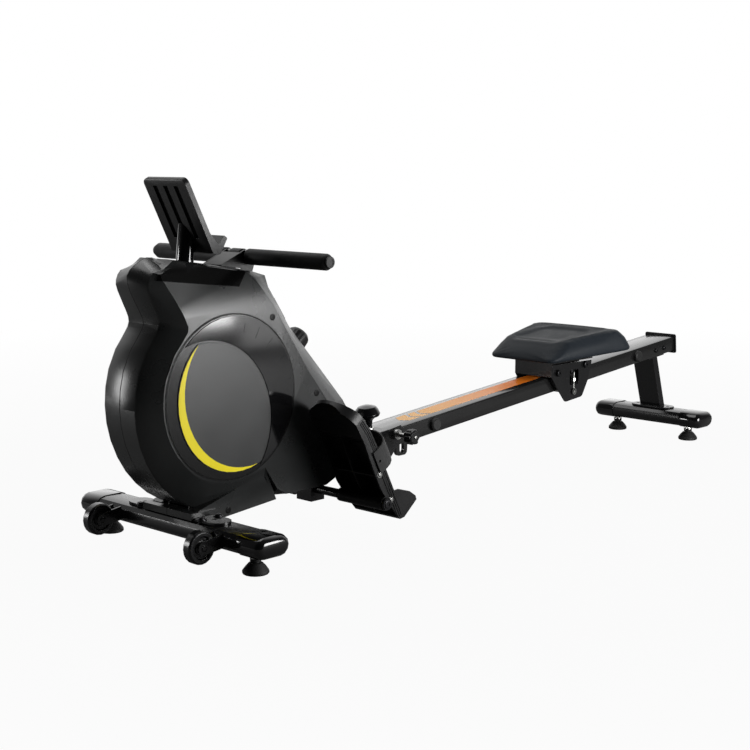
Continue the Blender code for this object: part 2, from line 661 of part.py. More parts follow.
def rear_upright(looks, rail_body):
    """The leaning rear leg: a flat tube between a plate under the rail and a plate on the beam."""
    wide, deep = 0.030, 0.010
    foot_z = SADDLE_TOP_Z - 0.001
    top = rail_point(UPRIGHT_TOP_X, -RAIL_TOP - GAP - 0.002)
    drop = math.tan(SLOPE)

    def ring(trim, upper, past):
        points = []
        for x, y in ((-1, -1), (1, -1), (1, 1), (-1, 1)):
            dx = x * (deep - trim) / math.cos(UPRIGHT_LEAN)
            if upper:
                points.append((top[0] + dx, y * (wide - trim), top[1] + dx * drop + past))
            else:
                points.append((REAR_BEAM_X - 0.002 + dx, y * (wide - trim), foot_z - past))
        return points

    tube = Shape().sleeve([ring(0, False, 0), ring(0, True, 0), ring(TUBE_WALL, True, 0),
                           ring(TUBE_WALL, False, 0)])
    made = tube.placed("rear_upright", looks["steel_black"], rail_body)
    foot = Shape().loft(saddle_plate(REAR_BEAM_X, 0.120, SADDLE_WIDTH, BEAM_TOP_Z + GAP, SADDLE_TOP_Z))
    carve(made, foot, "upright_foot", "UNION")
    low = -RAIL_TOP - GAP - SHEET
    head = [rail_point(top[0] - 0.034, low), rail_point(top[0] + 0.034, low),
            rail_point(top[0] + 0.034, -RAIL_TOP - GAP), rail_point(top[0] - 0.034, -RAIL_TOP - GAP)]
    carve(made, Shape().prism(head, -0.034, 0.034), "upright_head", "UNION")
    holes = Shape()
    for y in (-REAR_BOLT_Y, REAR_BOLT_Y):
        holes.rod((REAR_BEAM_X, y, BEAM_TOP_Z - 0.002), (REAR_BEAM_X, y, SADDLE_TOP_Z + 0.002),
                  BOLT / 2 + GAP, 12)
    drain_x = REAR_BEAM_X - 0.002
    holes.rod((drain_x, 0, BEAM_TOP_Z - 0.001), (drain_x, 0, SADDLE_TOP_Z + 0.002), 0.004, 10)
    return carve(made, holes, "upright_holes")


def pivot_bolt(looks, frame):
    """The bolt that the rail folds on, with its head on the far side and a nut on the near."""
    wall = BRACKET_INSIDE / 2 + SHEET
    radius = PIVOT_BOLT / 2
    profile = [(0, wall + GAP + 0.006), (0.0075, wall + GAP + 0.006), (0.010, wall + GAP + 0.003),
               (0.010, wall + GAP), (radius, wall + GAP), (radius, -wall - GAP),
               (0.011, -wall - GAP), (0.011, -wall - 0.009), (radius, -wall - 0.009),
               (radius, HAND_KNOB_Y - 0.006), (0, HAND_KNOB_Y - 0.006)]
    return Shape().turned(profile, (PIVOT_X, 0, PIVOT[1]), (0, 1, 0), 16).placed(
        "pivot_bolt", looks["zinc"], frame)


def hand_knob(looks, joint):
    """A five-lobed hand wheel on the near end of the pivot bolt."""
    length, lobes, steps = 0.024, 5, 30
    rings = []
    start = HAND_KNOB_Y - length / 2
    for along, scale in ((0.0, 0.82), (0.12, 1.0), (0.80, 1.0), (1.0, 0.72)):
        ring = []
        for i in range(steps):
            angle = 2 * math.pi * i / steps
            radius = HAND_KNOB_RADIUS * scale * (1 + 0.09 * math.cos(lobes * angle))
            ring.append((PIVOT_X + radius * math.cos(angle), start + length * along,
                         PIVOT[1] + radius * math.sin(angle)))
        rings.append(ring)
    made = Shape().loft(rings).placed("hand_knob", looks["moulded"], joint)
    bore = Shape().rod((PIVOT_X, HAND_KNOB_Y - 0.0075, PIVOT[1]),
                       (PIVOT_X, HAND_KNOB_Y + 0.02, PIVOT[1]), PIVOT_BOLT / 2 + GAP)
    return carve(made, bore, "hand_knob_bore")


def lock_knob(looks, joint):
    """The mushroom knob with its plunger pin, which drops into the rail from above."""
    base = rail_point(LOCK_X, 0)
    axis = (-math.sin(SLOPE), 0, math.cos(SLOPE))
    pin = LOCK_PIN / 2
    low = RAIL_TOP - LOCK_DEPTH
    foot = LOCK_BOSS_LIFT + GAP
    head = LOCK_HEAD_DIAMETER / 2
    profile = [(0, low), (pin - 0.001, low), (pin, low + 0.001), (pin, foot), (0.0085, foot),
               (0.0105, foot + 0.012), (0.017, foot + 0.018), (head - 0.002, foot + 0.021),
               (head, foot + 0.026), (head - 0.003, foot + 0.034), (head * 0.70, foot + 0.0405),
               (head * 0.35, foot + 0.0435), (0, foot + 0.0445)]
    return Shape().turned(profile, (base[0], 0, base[1]), axis, 22).placed(
        "lock_knob", looks["gloss"], joint)

# Housing outline at the seam, its partner on the side plane, and how far the band's edge lies
# from the seam's point, all XZ, clockwise from the nose
SLOPE_TOP = (0.186, 0.478)
SLOPE_BEND = (0.238, 0.400)
SLOPE_FOOT = (0.384, 0.2405)
SIDE_BEND_Z = 0.446      # above this height the sides lean in towards the top
SIDE_TOP = (0.537, 0.050)
FRONT_STATIONS = [
    ((-0.040, 0.5400), (-0.030, 0.5345), (0, 0)),
    ((-0.061, 0.543), (-0.048, 0.526), (0, -0.018)),
    ((-0.087, 0.531), (-0.074, 0.516), (0.004, -0.011)),
    ((-0.104, 0.513), (-0.0665, 0.497), (0.009, -0.010)),
    ((-0.098, 0.485), (-0.0545, 0.475), (0.005, 0)),
    ((-0.077, 0.446), (-0.041, SIDE_BEND_Z), (0.002, 0)),
    ((-0.070, 0.427), (-0.034, 0.431), (0, 0)), ((-0.080, 0.409), (-0.031, 0.414), (0, 0)),
    ((-0.101, 0.381), (-0.061, 0.3775), (0, 0))]
REAR_STATIONS = [
    ((0.070, HOUSING_FLOOR_Z), (0.0677, 0.1304)), ((0.120, HOUSING_FLOOR_Z), (0.115, 0.138)),
    ((0.160, HOUSING_FLOOR_Z), (0.146, 0.146)), ((0.185, HOUSING_FLOOR_Z), (0.176, 0.100)),
    ((0.205, HOUSING_FLOOR_Z), (0.200, 0.086)), ((0.310, HOUSING_FLOOR_Z), (0.305, 0.086)),
    ((0.362, 0.0935), (0.345, 0.103)), ((0.400, 0.145), (0.377, 0.150)),
    ((0.402, 0.212), (0.372, 0.212)), (SLOPE_FOOT, (0.310, 0.2495)),
    ((0.310, 0.3213), (0.257, 0.318)), (SLOPE_BEND, (0.201, 0.402)),
    ((0.2087, 0.444), (0.1722, SIDE_BEND_Z)), (SLOPE_TOP, (0.150, 0.480)),
    ((0.178, 0.5005), (0.138, 0.4985)), ((0.147, 0.509), (0.118, 0.511)),
    ((0.023, 0.530), (0.015, 0.5275))]
RING_MARGIN = 0.006
DISC_EDGE = ((0.0781, 0.2871), 0.1385)
CRESCENT_EDGE = ((0.0075, 0.2431), 0.1514)
ACCENT_EDGE = ((0.0985, 0.2989), 0.1436)
DISC_BASE = 0.0015
DISC_RAISE = 0.0032
TRIM_RAISE = 0.0030
ACCENT_THICKNESS = 0.0006
SEAM = GAP / 2


def side_y(z):
    """Half width of the housing's side face at a height."""
    if z <= SIDE_BEND_Z:
        return SIDE_HALF
    share = (z - SIDE_BEND_Z) / (SIDE_TOP[0] - SIDE_BEND_Z)
    return SIDE_HALF + (SIDE_TOP[1] - SIDE_HALF) * share


def in_between(stations):
    """Add a smooth point between each two stations, on a Catmull-Rom curve."""
    flat = [Vector((*seam, *side, *shift)) for seam, side, shift in stations]
    full = []
    for i in range(len(flat) - 1):
        before = flat[max(i - 1, 0)]
        after = flat[min(i + 2, len(flat) - 1)]
        middle = (flat[i] + flat[i + 1]) * 0.5625 - (before + after) * 0.0625
        full += [flat[i], middle]
    full.append(flat[-1])
    return [((v[0], v[1]), (v[2], v[3]), (v[4], v[5])) for v in full]


def housing_outlines():
    """Matched outlines at the seam and on the side plane, anticlockwise from under the belly,
    and the shift of the band's edge at each point."""
    rear = [(seam, side, (0, 0)) for seam, side in REAR_STATIONS]
    belly = [(polar(BELLY, BELLY_RADIUS, a), polar(RING, RING_RADIUS + RING_MARGIN, a), (0, 0))
             for a in range(162, 253, 9)]
    stations = rear + in_between(FRONT_STATIONS) + belly
    return tuple([station[i] for station in stations] for i in range(3))


def housing_rings(depth):
    """Half-shell rings from the seam to the side face, all moved inwards by depth."""
    stops = [(0, SEAM, 0), (0, BAND_HALF - 0.003, 0), (0.07, BAND_HALF + 0.002, 0),
             (0.55, None, 0.0155), (0.94, None, 0.0015), (1.0, None, 0)]
    if depth:
        stops = stops[:1] + stops[2:4] + stops[5:]
    seam, side, shift = housing_outlines()
    if depth:
        seam = inset(seam, depth)
        side = inset(side, depth)
    rings = []
    for share, y, trim in stops:
        ring = []
        lean = (1 - share) * (0 if y == SEAM else 1)
        for (px, pz), (qx, qz), (sx, sz) in zip(seam, side, shift):
            x = px + (qx - px) * share + sx * lean
            z = pz + (qz - pz) * share + sz * lean
            edge = side_y(qz) - depth
            if y is None:
                reach = BAND_HALF + 0.002 + (edge - BAND_HALF - 0.002) * share
                out = max(reach, edge - trim) if share > 0.9 else reach
            else:
                out = min(y, edge) if depth == 0 or share == 0 else min(y - depth, edge)
            ring.append((x, out if share < 1 else edge, z))
        rings.append(ring)
    return rings


def housing_shell(name, side, looks, frame):
    """One moulded half of the housing, a hollow shell split at the middle plane."""
    rings = list(reversed(housing_rings(SHELL_WALL))) + housing_rings(0)
    shape = Shape().loft(rings)
    flank = housing_outlines()[1]
    low, high = [i for i, point in enumerate(flank) if abs(point[1] - SIDE_BEND_Z) < 1e-6]
    shape.bm.verts.ensure_lookup_table()
    count = len(flank)
    for first in (0, len(shape.bm.verts) - count):
        a, b = shape.bm.verts[first + low], shape.bm.verts[first + high]
        face = next(f for f in a.link_faces if b in f.verts)
        bmesh.utils.face_split(face, a, b)
    if side < 0:
        shape.flipped()
    made = shape.placed(name, looks["housing"], frame)
    feet = Shape().prism(SKIRT_OUTLINE, side * (BAND_HALF - 0.006), side * SKIRT_HALF)
    carve(made, feet, name + "_skirt", "UNION")
    step = [(FLANGE_X, BEAM_TOP_Z + 0.0006), (0.030, BEAM_TOP_Z + 0.0006), (0.030, FLANGE_TOP_Z),
            (FLANGE_X, FLANGE_TOP_Z)]
    carve(made, Shape().prism(step, side * SEAM, side * (SKIRT_HALF + 0.004)), name + "_step", "UNION")
    cuts = Shape()
    cuts.prism(arc(RING, RING_RADIUS - 0.010, 0, 345, 23), side * (SIDE_HALF - 0.012),
               side * (SIDE_HALF + 0.004))
    cuts.prism(frame_slot_outline(), -side * 0.001, side * (FRAME_WIDTH / 2 + SHEET + 0.0012))
    saddle_room = [(-SADDLE_WIDTH / 2 - 0.001, BEAM_TOP_Z - 0.002),
                   (SADDLE_WIDTH / 2 + 0.001, BEAM_TOP_Z - 0.002),
                   (SADDLE_WIDTH / 2 + 0.001, SADDLE_TOP_Z + 0.0006),
                   (-SADDLE_WIDTH / 2 - 0.001, SADDLE_TOP_Z + 0.0006)]
    spot, normal, run = slope_frame(SLOPE_BEND, SLOPE_FOOT, DIAL_ALONG)
    cuts.rod(tuple(spot - normal * 0.010), tuple(spot + normal * 0.006), DIAL_STUB + GAP, 20)
    carve(made, cuts, name + "_openings")
    carve(made, Shape().prism(saddle_room, -side * 0.002, side * 0.080), name + "_saddle_room")
    carve(made, cap_envelope(GAP), name + "_cap_seat")
    return made


def frame_slot_outline():
    """The opening under and behind the housing that the frame comes out of."""
    half = FRAME_HEIGHT / 2 / math.cos(SLOPE) + 0.002
    return [(-0.002, HOUSING_FLOOR_Z - 0.006), (0.342, HOUSING_FLOOR_Z - 0.006), (0.420, 0.090),
            (0.420, line_z(0.420) + half), (0.330, line_z(0.330) + half),
            (0.330, HOUSING_FLOOR_Z + 0.012), (0.020, HOUSING_FLOOR_Z + 0.012),
            (0.006, line_z(0) + half), (-0.002, line_z(0) + half)]


# The foot of the housing: a step over the front beam and a fin on each side
FLANGE_X = -0.028
FLANGE_TOP_Z = 0.0865
SKIRT_OUTLINE = [(0.050, 0.0655), (0.181, 0.0774), (0.157, 0.1355), (-0.010, 0.0875),
                 (0.030, 0.0805), (0.046, 0.0705)]

# The glossy cap on top: its edge line at the side, front to rear, and its crown above that
CAP_LINE = [(-0.015, 0.5330), (0.103, 0.5155), (0.136, 0.5100)]
CAP_DROP = 0.017
CAP_CROWN = 0.0045
CAP_HALF = 0.0515
CAP_SKIN = 0.002


def cap_section(x, z, grow, drop):
    """The cap's arch across the machine: leaning sides, soft corners and a crowned top."""
    half = CAP_HALF + grow
    foot = half + 0.0042
    arch = []
    for i in range(9):
        y = -half + 2 * half * i / 8
        arch.append((x, y, z + grow + CAP_CROWN * (1 - (y / half) ** 2)))
    return [(x, -foot, z - drop)] + arch + [(x, foot, z - drop)]


def cap_envelope(grow):
    """The solid that the cap and what is under it fill; the shells are cut by it."""
    line = CAP_LINE
    rings = []
    for i, (x, z) in enumerate(line):
        shift = (-grow, 0, grow)[i]
        rings.append(cap_section(x + shift, z, grow, CAP_DROP + grow))
    return Shape().loft(rings)


def top_cap(looks, frame):
    """The glossy cap that joins the two shells along the top, slotted for the strap."""
    rings = [cap_section(x, z, 0, CAP_DROP) for x, z in CAP_LINE]
    made = Shape().loft(rings).placed("top_cap", looks["gloss"], frame)
    inner = []
    for i, (x, z) in enumerate(CAP_LINE):
        shift = (CAP_SKIN, 0, -CAP_SKIN)[i]
        section = cap_section(x + shift, z, -CAP_SKIN, CAP_DROP + 0.004)
        inner.append(section)
    carve(made, Shape().loft(inner), "cap_hollow")
    half = HOOD_HALF - SHEET - GAP
    slot = Shape().block((0.070, -half, 0.490), (0.1345, half, 0.545))
    foot, lean = Vector((COLUMN_FOOT[0], 0, COLUMN_FOOT[1])), column_axis()
    slot.rod(tuple(foot - lean * 0.01), tuple(foot + lean * 0.05), COLUMN_DIAMETER / 2 + GAP, 28)
    return carve(made, slot, "cap_openings")


def circle_meeting(first, second):
    """The two points where two circles cross."""
    (c1, r1), (c2, r2) = first, second
    gap = Vector(c2) - Vector(c1)
    along = (r1 * r1 - r2 * r2 + gap.length_squared) / (2 * gap.length)
    high = math.sqrt(r1 * r1 - along * along)
    unit = gap.normalized()
    foot = Vector(c1) + unit * along
    across = Vector((-unit.y, unit.x)) * high
    return foot - across, foot + across


def arc_through(circle, start, end, facing, steps):
    """The arc of a circle between two of its points, on the side that the angle looks at."""
    centre, radius = circle
    first = math.degrees(math.atan2(start.y - centre[1], start.x - centre[0]))
    last = math.degrees(math.atan2(end.y - centre[1], end.x - centre[0]))
    sweep = (last - first) % 360
    if (facing - first) % 360 > sweep:
        sweep -= 360
    return arc(centre, radius, first, first + sweep, steps)


def facing_angle(start, end):
    return math.degrees(math.atan2(end[1] - start[1], end[0] - start[0]))


def crescent(outer, hollow, steps):
    """The part of one circle that lies outside another, as one outline."""
    low, high = circle_meeting(outer, hollow)
    facing = facing_angle(hollow[0], outer[0])
    swing = arc_through(outer, low, high, facing, steps)
    return swing + arc_through(hollow, high, low, facing, steps)[1:-1]


def lens(first, second, steps):
    """The part that two circles share, as one outline."""
    low, high = circle_meeting(first, second)
    facing = facing_angle(first[0], second[0])
    swing = arc_through(first, low, high, facing, steps)
    return swing + arc_through(second, high, low, facing + 180, steps)[1:-1]


def disc_cover(name, side, looks, frame):
    """The round side cover: a thin base on the shell with the raised matt disc on it."""
    face = SIDE_HALF + GAP
    made = Shape().prism(arc(RING, RING_RADIUS, 0, 351, 39), side * face,
                         side * (face + DISC_BASE)).placed(name, looks["disc"], frame)
    raised = lens(DISC_EDGE, (CRESCENT_EDGE[0], CRESCENT_EDGE[1] - 0.002), 20)
    carve(made, Shape().prism(raised, side * (face + 0.0005), side * (face + DISC_RAISE)),
          name + "_raised", "UNION")
    plug = arc(RING, RING_RADIUS - 0.010 - 2 * GAP, 0, 345, 23)
    return carve(made, Shape().prism(plug, side * (face - 0.004), side * (face + 0.0003)),
                 name + "_plug", "UNION")


def ring_trim(name, side, looks, frame):
    """The glossy crescent that lies beside the disc, with its scored tick lines."""
    face = SIDE_HALF + GAP + DISC_BASE + GAP
    top = SIDE_HALF + GAP + TRIM_RAISE
    outer = (RING, RING_RADIUS - 0.003)
    hollow = (CRESCENT_EDGE[0], CRESCENT_EDGE[1] + 0.0015)
    made = Shape().prism(crescent(outer, hollow, 22), side * face, side * top).placed(
        name, looks["gloss"], frame)
    scores = Shape()
    for degrees, inner, length in TICKS:
        start = Vector(polar(RING, inner, degrees))
        end = Vector(polar(RING, inner + length, degrees))
        run = (end - start).normalized()
        across = Vector((-run.y, run.x)) * 0.0006
        corners = [start - across, end - across, end + across, start + across]
        scores.prism([tuple(corner) for corner in corners], side * (top - 0.0005),
                     side * (top + 0.001))
    return carve(made, scores, name + "_ticks")


# Angle on the ring, inner radius and length of each tick line
TICKS = [(77, 0.120, 0.015), (62, 0.117, 0.021), (46, 0.116, 0.023), (27, 0.124, 0.017),
         (8, 0.136, 0.007)]


def accent(name, side, looks, frame):
    """The yellow crescent laid on the edge of the disc."""
    face = SIDE_HALF + 2 * GAP + DISC_RAISE
    outline = crescent((DISC_EDGE[0], DISC_EDGE[1] - 0.0012), ACCENT_EDGE, 20)
    return Shape().prism(outline, side * face, side * (face + ACCENT_THICKNESS)).placed(
        name, looks["yellow"], frame)


def on_slope(high, low, along, out=0.0):
    """An XZ point on the rear slope: distance from its high end, and height off the surface."""
    run = (Vector(low) - Vector(high)).normalized()
    normal = Vector((-run.y, run.x))
    return tuple(Vector(high) + run * along + normal * out)


def flywheel(looks, joint):
    """Heavy rim, thin web with round lightening holes, and a hub on its axle."""
    x, z = FLYWHEEL
    half, rim = FLYWHEEL_WIDTH / 2, FLYWHEEL_RADIUS
    bore = AXLE_DIAMETER / 2 + RUN
    profile = [(bore, -half), (0.022, -half), (0.024, -0.005), (rim - 0.032, -0.005),
               (rim - 0.030, -half), (rim, -half), (rim, half), (rim - 0.030, half),
               (rim - 0.032, 0.005), (0.024, 0.005), (0.022, half), (bore, half)]
    made = Shape().turned(profile, (x, 0, z), (0, 1, 0), 32).placed(
        "flywheel", looks["cast_iron"], joint)
    holes = Shape()
    for i in range(6):
        hx, hz = polar(FLYWHEEL, 0.057, 60 * i)
        holes.rod((hx, -0.02, hz), (hx, 0.02, hz), 0.015, 12)
    return carve(made, holes, "flywheel_holes")


def flywheel_axle(looks, frame):
    """Fixed axle with a collar on each side of the flywheel hub."""
    radius, collar = AXLE_DIAMETER / 2, AXLE_DIAMETER / 2 + 0.003
    hub = FLYWHEEL_WIDTH / 2 + RUN
    plate = FRAME_WIDTH / 2 - GAP - GAP
    far = BELT_Y + BELT_WIDTH / 2 + 0.004
    profile = [(0, -plate - SHEET - 0.004), (radius, -plate - SHEET - 0.004), (radius, -plate),
               (collar, -plate), (collar, -hub), (radius, -hub), (radius, hub), (collar, hub),
               (collar, plate), (radius, plate), (radius, far), (0, far)]
    return Shape().turned(profile, (FLYWHEEL[0], 0, FLYWHEEL[1]), (0, 1, 0), 16).placed(
        "flywheel_axle", looks["zinc"], frame)


def belt_groove(radius):
    """Half width of a belt wheel and the profile of its tread between two flanges."""
    half = BELT_WIDTH / 2 + 0.0012
    flange = radius + BELT_THICKNESS + 0.0015
    return half, [(flange, -half), (flange, -half + 0.0008), (radius, -half + 0.0010),
                  (radius, half - 0.0010), (flange, half - 0.0008), (flange, half)]


def drive_wheel(looks, joint):
    """The small belt wheel beside the flywheel, with its one-way clutch inside."""
    half, tread = belt_groove(DRIVE_PULLEY_RADIUS)
    bore = AXLE_DIAMETER / 2 + RUN
    return Shape().turned([(bore, -half)] + tread + [(bore, half)],
                          (FLYWHEEL[0], BELT_Y, FLYWHEEL[1]), (0, 1, 0), 20).placed(
        "drive_wheel", looks["moulded"], joint)


def strap_reel(looks, joint):
    """The drum for the strap on its shaft, with the large belt wheel at the far end."""
    radius = AXLE_DIAMETER / 2
    half = STRAP_WIDTH / 2 + 0.001
    flange = SPOOL_RADIUS + 0.006
    wheel_half, tread = belt_groove(SPOOL_PULLEY_RADIUS)
    profile = [(0, -SPRING_Y[1]), (radius, -SPRING_Y[1]), (radius, -half - 0.003),
               (flange, -half - 0.003), (flange, -half), (SPOOL_RADIUS, -half),
               (SPOOL_RADIUS, half), (flange, half), (flange, half + 0.003), (radius, half + 0.003),
               (radius, BELT_Y - wheel_half)]
    profile += [(r, BELT_Y + along) for r, along in tread]
    profile += [(radius, BELT_Y + wheel_half), (radius, BELT_Y + wheel_half + 0.003),
                (0, BELT_Y + wheel_half + 0.003)]
    return Shape().turned(profile, (SPOOL[0], 0, SPOOL[1]), (0, 1, 0), 24).placed(
        "strap_reel", looks["moulded"], joint)


def tangent(start, start_radius, end, end_radius, side):
    """Where a straight belt run touches two circles; side is +1 left or -1 right of the run."""
    run = Vector(end) - Vector(start)
    unit = run.normalized()
    share = (start_radius - end_radius) / run.length
    normal = unit * share + Vector((-unit.y, unit.x)) * side * math.sqrt(1 - share * share)
    return Vector(start) + normal * start_radius, Vector(end) + normal * end_radius, normal


def drive_belt(looks, frame):
    """An open belt round the reel's wheel and the flywheel's drive wheel."""
    shape = Shape()
    rings = []
    for lift in (GAP + BELT_THICKNESS, GAP):
        big, small = SPOOL_PULLEY_RADIUS + lift, DRIVE_PULLEY_RADIUS + lift
        n_left = tangent(FLYWHEEL, small, SPOOL, big, 1)[2]
        n_right = tangent(FLYWHEEL, small, SPOOL, big, -1)[2]
        left = math.degrees(math.atan2(n_left.y, n_left.x)) % 360
        right = math.degrees(math.atan2(n_right.y, n_right.x))
        outline = arc(SPOOL, big, right, left, 20) + arc(FLYWHEEL, small, left, right + 360, 14)
        rings.append(outline)
    y0, y1 = BELT_Y - BELT_WIDTH / 2 + GAP, BELT_Y + BELT_WIDTH / 2 - GAP
    outer, inner = rings
    shape.sleeve([[(x, y0, z) for x, z in outer], [(x, y1, z) for x, z in outer],
                  [(x, y1, z) for x, z in inner], [(x, y0, z) for x, z in inner]])
    return shape.placed("drive_belt", looks["rubber"], frame)


def rewind_spring(looks, frame):
    """A flat spiral spring that winds the strap back in."""
    turns, steps, thickness = 4, 12, 0.0008
    inner = AXLE_DIAMETER / 2 + RUN + thickness
    outer = SPRING_CASE_RADIUS - 0.0015 - GAP - thickness
    line = []
    for i in range(turns * steps + 1):
        share = i / (turns * steps)
        line.append((inner + (outer - inner) * share, 360 * turns * share))
    outside = [polar(SPOOL, radius + thickness / 2, angle) for radius, angle in line]
    inside = [polar(SPOOL, radius - thickness / 2, angle) for radius, angle in reversed(line)]
    return Shape().prism(outside + inside, -SPRING_Y[1] + 0.001, -SPRING_Y[0] - GAP).placed(
        "rewind_spring", looks["zinc"], frame)


MAGNET_HALF = 0.013


def magnet_bracket(looks, joint):
    """The curved bracket that carries the magnets along the flywheel's rim."""
    gap = 0.0025
    inner, outer = FLYWHEEL_RADIUS + gap, FLYWHEEL_RADIUS + gap + 0.009
    outline = arc(FLYWHEEL, outer, -38, 42, 16) + list(reversed(arc(FLYWHEEL, inner, -38, 42, 16)))
    made = Shape().prism(outline, -MAGNET_HALF, MAGNET_HALF).placed("magnet_bracket", looks["zinc"], joint)
    reach = MAGNET_HALF - 0.0002
    boss = Shape().rod((MAGNET_PIVOT[0], -reach, MAGNET_PIVOT[1]),
                       (MAGNET_PIVOT[0], reach, MAGNET_PIVOT[1]), 0.0115, 18)
    carve(made, boss, "magnet_boss", "UNION")
    bore = Shape().rod((MAGNET_PIVOT[0], -0.02, MAGNET_PIVOT[1]),
                       (MAGNET_PIVOT[0], 0.02, MAGNET_PIVOT[1]), MAGNET_PIN / 2 + RUN, 18)
    return carve(made, bore, "magnet_bore")


def pull_strap(looks, joint):
    """The webbing strap from the reel, over the guide roller, to a loop round the handle."""
    half = STRAP_THICKNESS / 2
    lead = GUIDE_ROLLER_RADIUS + GAP + half
    off_reel, on_roller, normal = tangent(SPOOL, SPOOL_RADIUS + GAP + half, GUIDE_ROLLER, lead, 1)
    start = math.degrees(math.atan2(normal.y, normal.x))
    towards = Vector((HANDLE_X, HANDLE_Z)) - Vector(GUIDE_ROLLER)
    end = math.degrees(math.atan2(towards.y, towards.x)) + math.degrees(
        math.acos(lead / towards.length))
    loop = BAR_DIAMETER / 2 + GAP + half
    last = Vector(polar(GUIDE_ROLLER, lead, end))
    arrive = Vector((HANDLE_X, HANDLE_Z)) - (Vector((HANDLE_X, HANDLE_Z)) - last).normalized() * loop
    line = [tuple(off_reel)] + arc(GUIDE_ROLLER, lead, start, end, 8) + [tuple(arrive)]
    left, right = [], []
    for i, point in enumerate(line):
        ahead = Vector(line[min(i + 1, len(line) - 1)]) - Vector(line[max(i - 1, 0)])
        side = Vector((-ahead.y, ahead.x)).normalized() * half
        left.append(tuple(Vector(point) + side))
        right.append(tuple(Vector(point) - side))
    made = Shape().prism(left + right[::-1], -STRAP_WIDTH / 2, STRAP_WIDTH / 2).placed(
        "pull_strap", looks["webbing"], joint)
    centre = (HANDLE_X, 0, HANDLE_Z)
    reach = STRAP_WIDTH / 2 - 0.0002
    ring = [(loop - half, -reach), (loop + half, -reach), (loop + half, reach), (loop - half, reach)]
    return carve(made, Shape().turned(ring, centre, (0, 1, 0), 24), "strap_loop", "UNION")


def handle_bar(looks, joint):
    """The steel tube inside the grips."""
    half = HANDLE_HALF - 0.0055
    radius = BAR_DIAMETER / 2
    profile = [(radius - TUBE_WALL, -half), (radius, -half), (radius, half),
               (radius - TUBE_WALL, half)]
    return Shape().turned(profile, (HANDLE_X, 0, HANDLE_Z), (0, 1, 0), 28).placed(
        "handle_bar", looks["steel_black"], joint)


def handle_grip(name, side, looks, joint):
    """A soft sleeve with a domed end over one half of the bar."""
    bore = BAR_DIAMETER / 2 + GAP
    outer = GRIP_DIAMETER / 2
    seat = HANDLE_HALF - 0.005
    end = HANDLE_HALF
    profile = [(0, seat), (bore, seat), (bore, GRIP_START), (outer - 0.001, GRIP_START),
               (outer, GRIP_START + 0.001), (outer, end - 0.009), (outer - 0.0025, end - 0.004),
               (outer - 0.007, end - 0.0008), (0, end)]
    return Shape().turned(profile, (HANDLE_X, 0, HANDLE_Z), (0, side, 0), 24).placed(
        name, looks["grip"], joint)


def strap_hood(looks, frame):
    """The ramp over the strap's mouth; its cheeks cradle the handle in front and below."""
    cheek = [(0.088, 0.5216), (0.1366, 0.5140), (0.1385, 0.5112), (0.1475, 0.5094),
             (0.1630, 0.5051),
             (0.1690, HANDLE_Z - BAR_DIAMETER / 2 - 0.0008)]
    cheek += arc((HANDLE_X, HANDLE_Z), BAR_DIAMETER / 2 + 0.0005, 270, 116, 10)
    cheek += [(0.1455, 0.5478), (0.090, 0.5240)]
    made = Shape().pair(cheek, HOOD_HALF - SHEET, HOOD_HALF).placed(
        "strap_hood", looks["moulded"], frame)
    roof = [(0.0885, 0.5230), (0.0915, 0.5230), (0.1370, 0.5425), (0.1355, 0.5432)]
    carve(made, Shape().prism(roof, -HOOD_HALF + 0.001, HOOD_HALF - 0.001), "hood_roof", "UNION")
    pin = Shape().rod((GUIDE_ROLLER[0], -HOOD_HALF + 0.001, GUIDE_ROLLER[1]),
                      (GUIDE_ROLLER[0], HOOD_HALF - 0.001, GUIDE_ROLLER[1]), GUIDE_PIN / 2, 10)
    return carve(made, pin, "hood_pin", "UNION")


def guide_roller(looks, joint):
    """The roller that turns the strap towards the handle."""
    half = HOOD_HALF - SHEET - RUN
    bore = GUIDE_PIN / 2 + GAP
    profile = [(bore, -half), (GUIDE_ROLLER_RADIUS, -half), (GUIDE_ROLLER_RADIUS, half),
               (bore, half)]
    return Shape().turned(profile, (GUIDE_ROLLER[0], 0, GUIDE_ROLLER[1]), (0, 1, 0), 18).placed(
        "guide_roller", looks["moulded"], joint)


# Tablet holder: back plane from its top edge to its bottom edge, seen from the side
HOLDER_TOP = (-0.0224, 0.679)
HOLDER_FOOT = (0.0433, 0.547)
HOLDER_THICKNESS = 0.0105
HOLDER_HALF = 0.058
COLUMN_FOOT = (0.023, 0.514)
COLUMN_LEAN = math.radians(6)
COLUMN_DIAMETER = 0.032


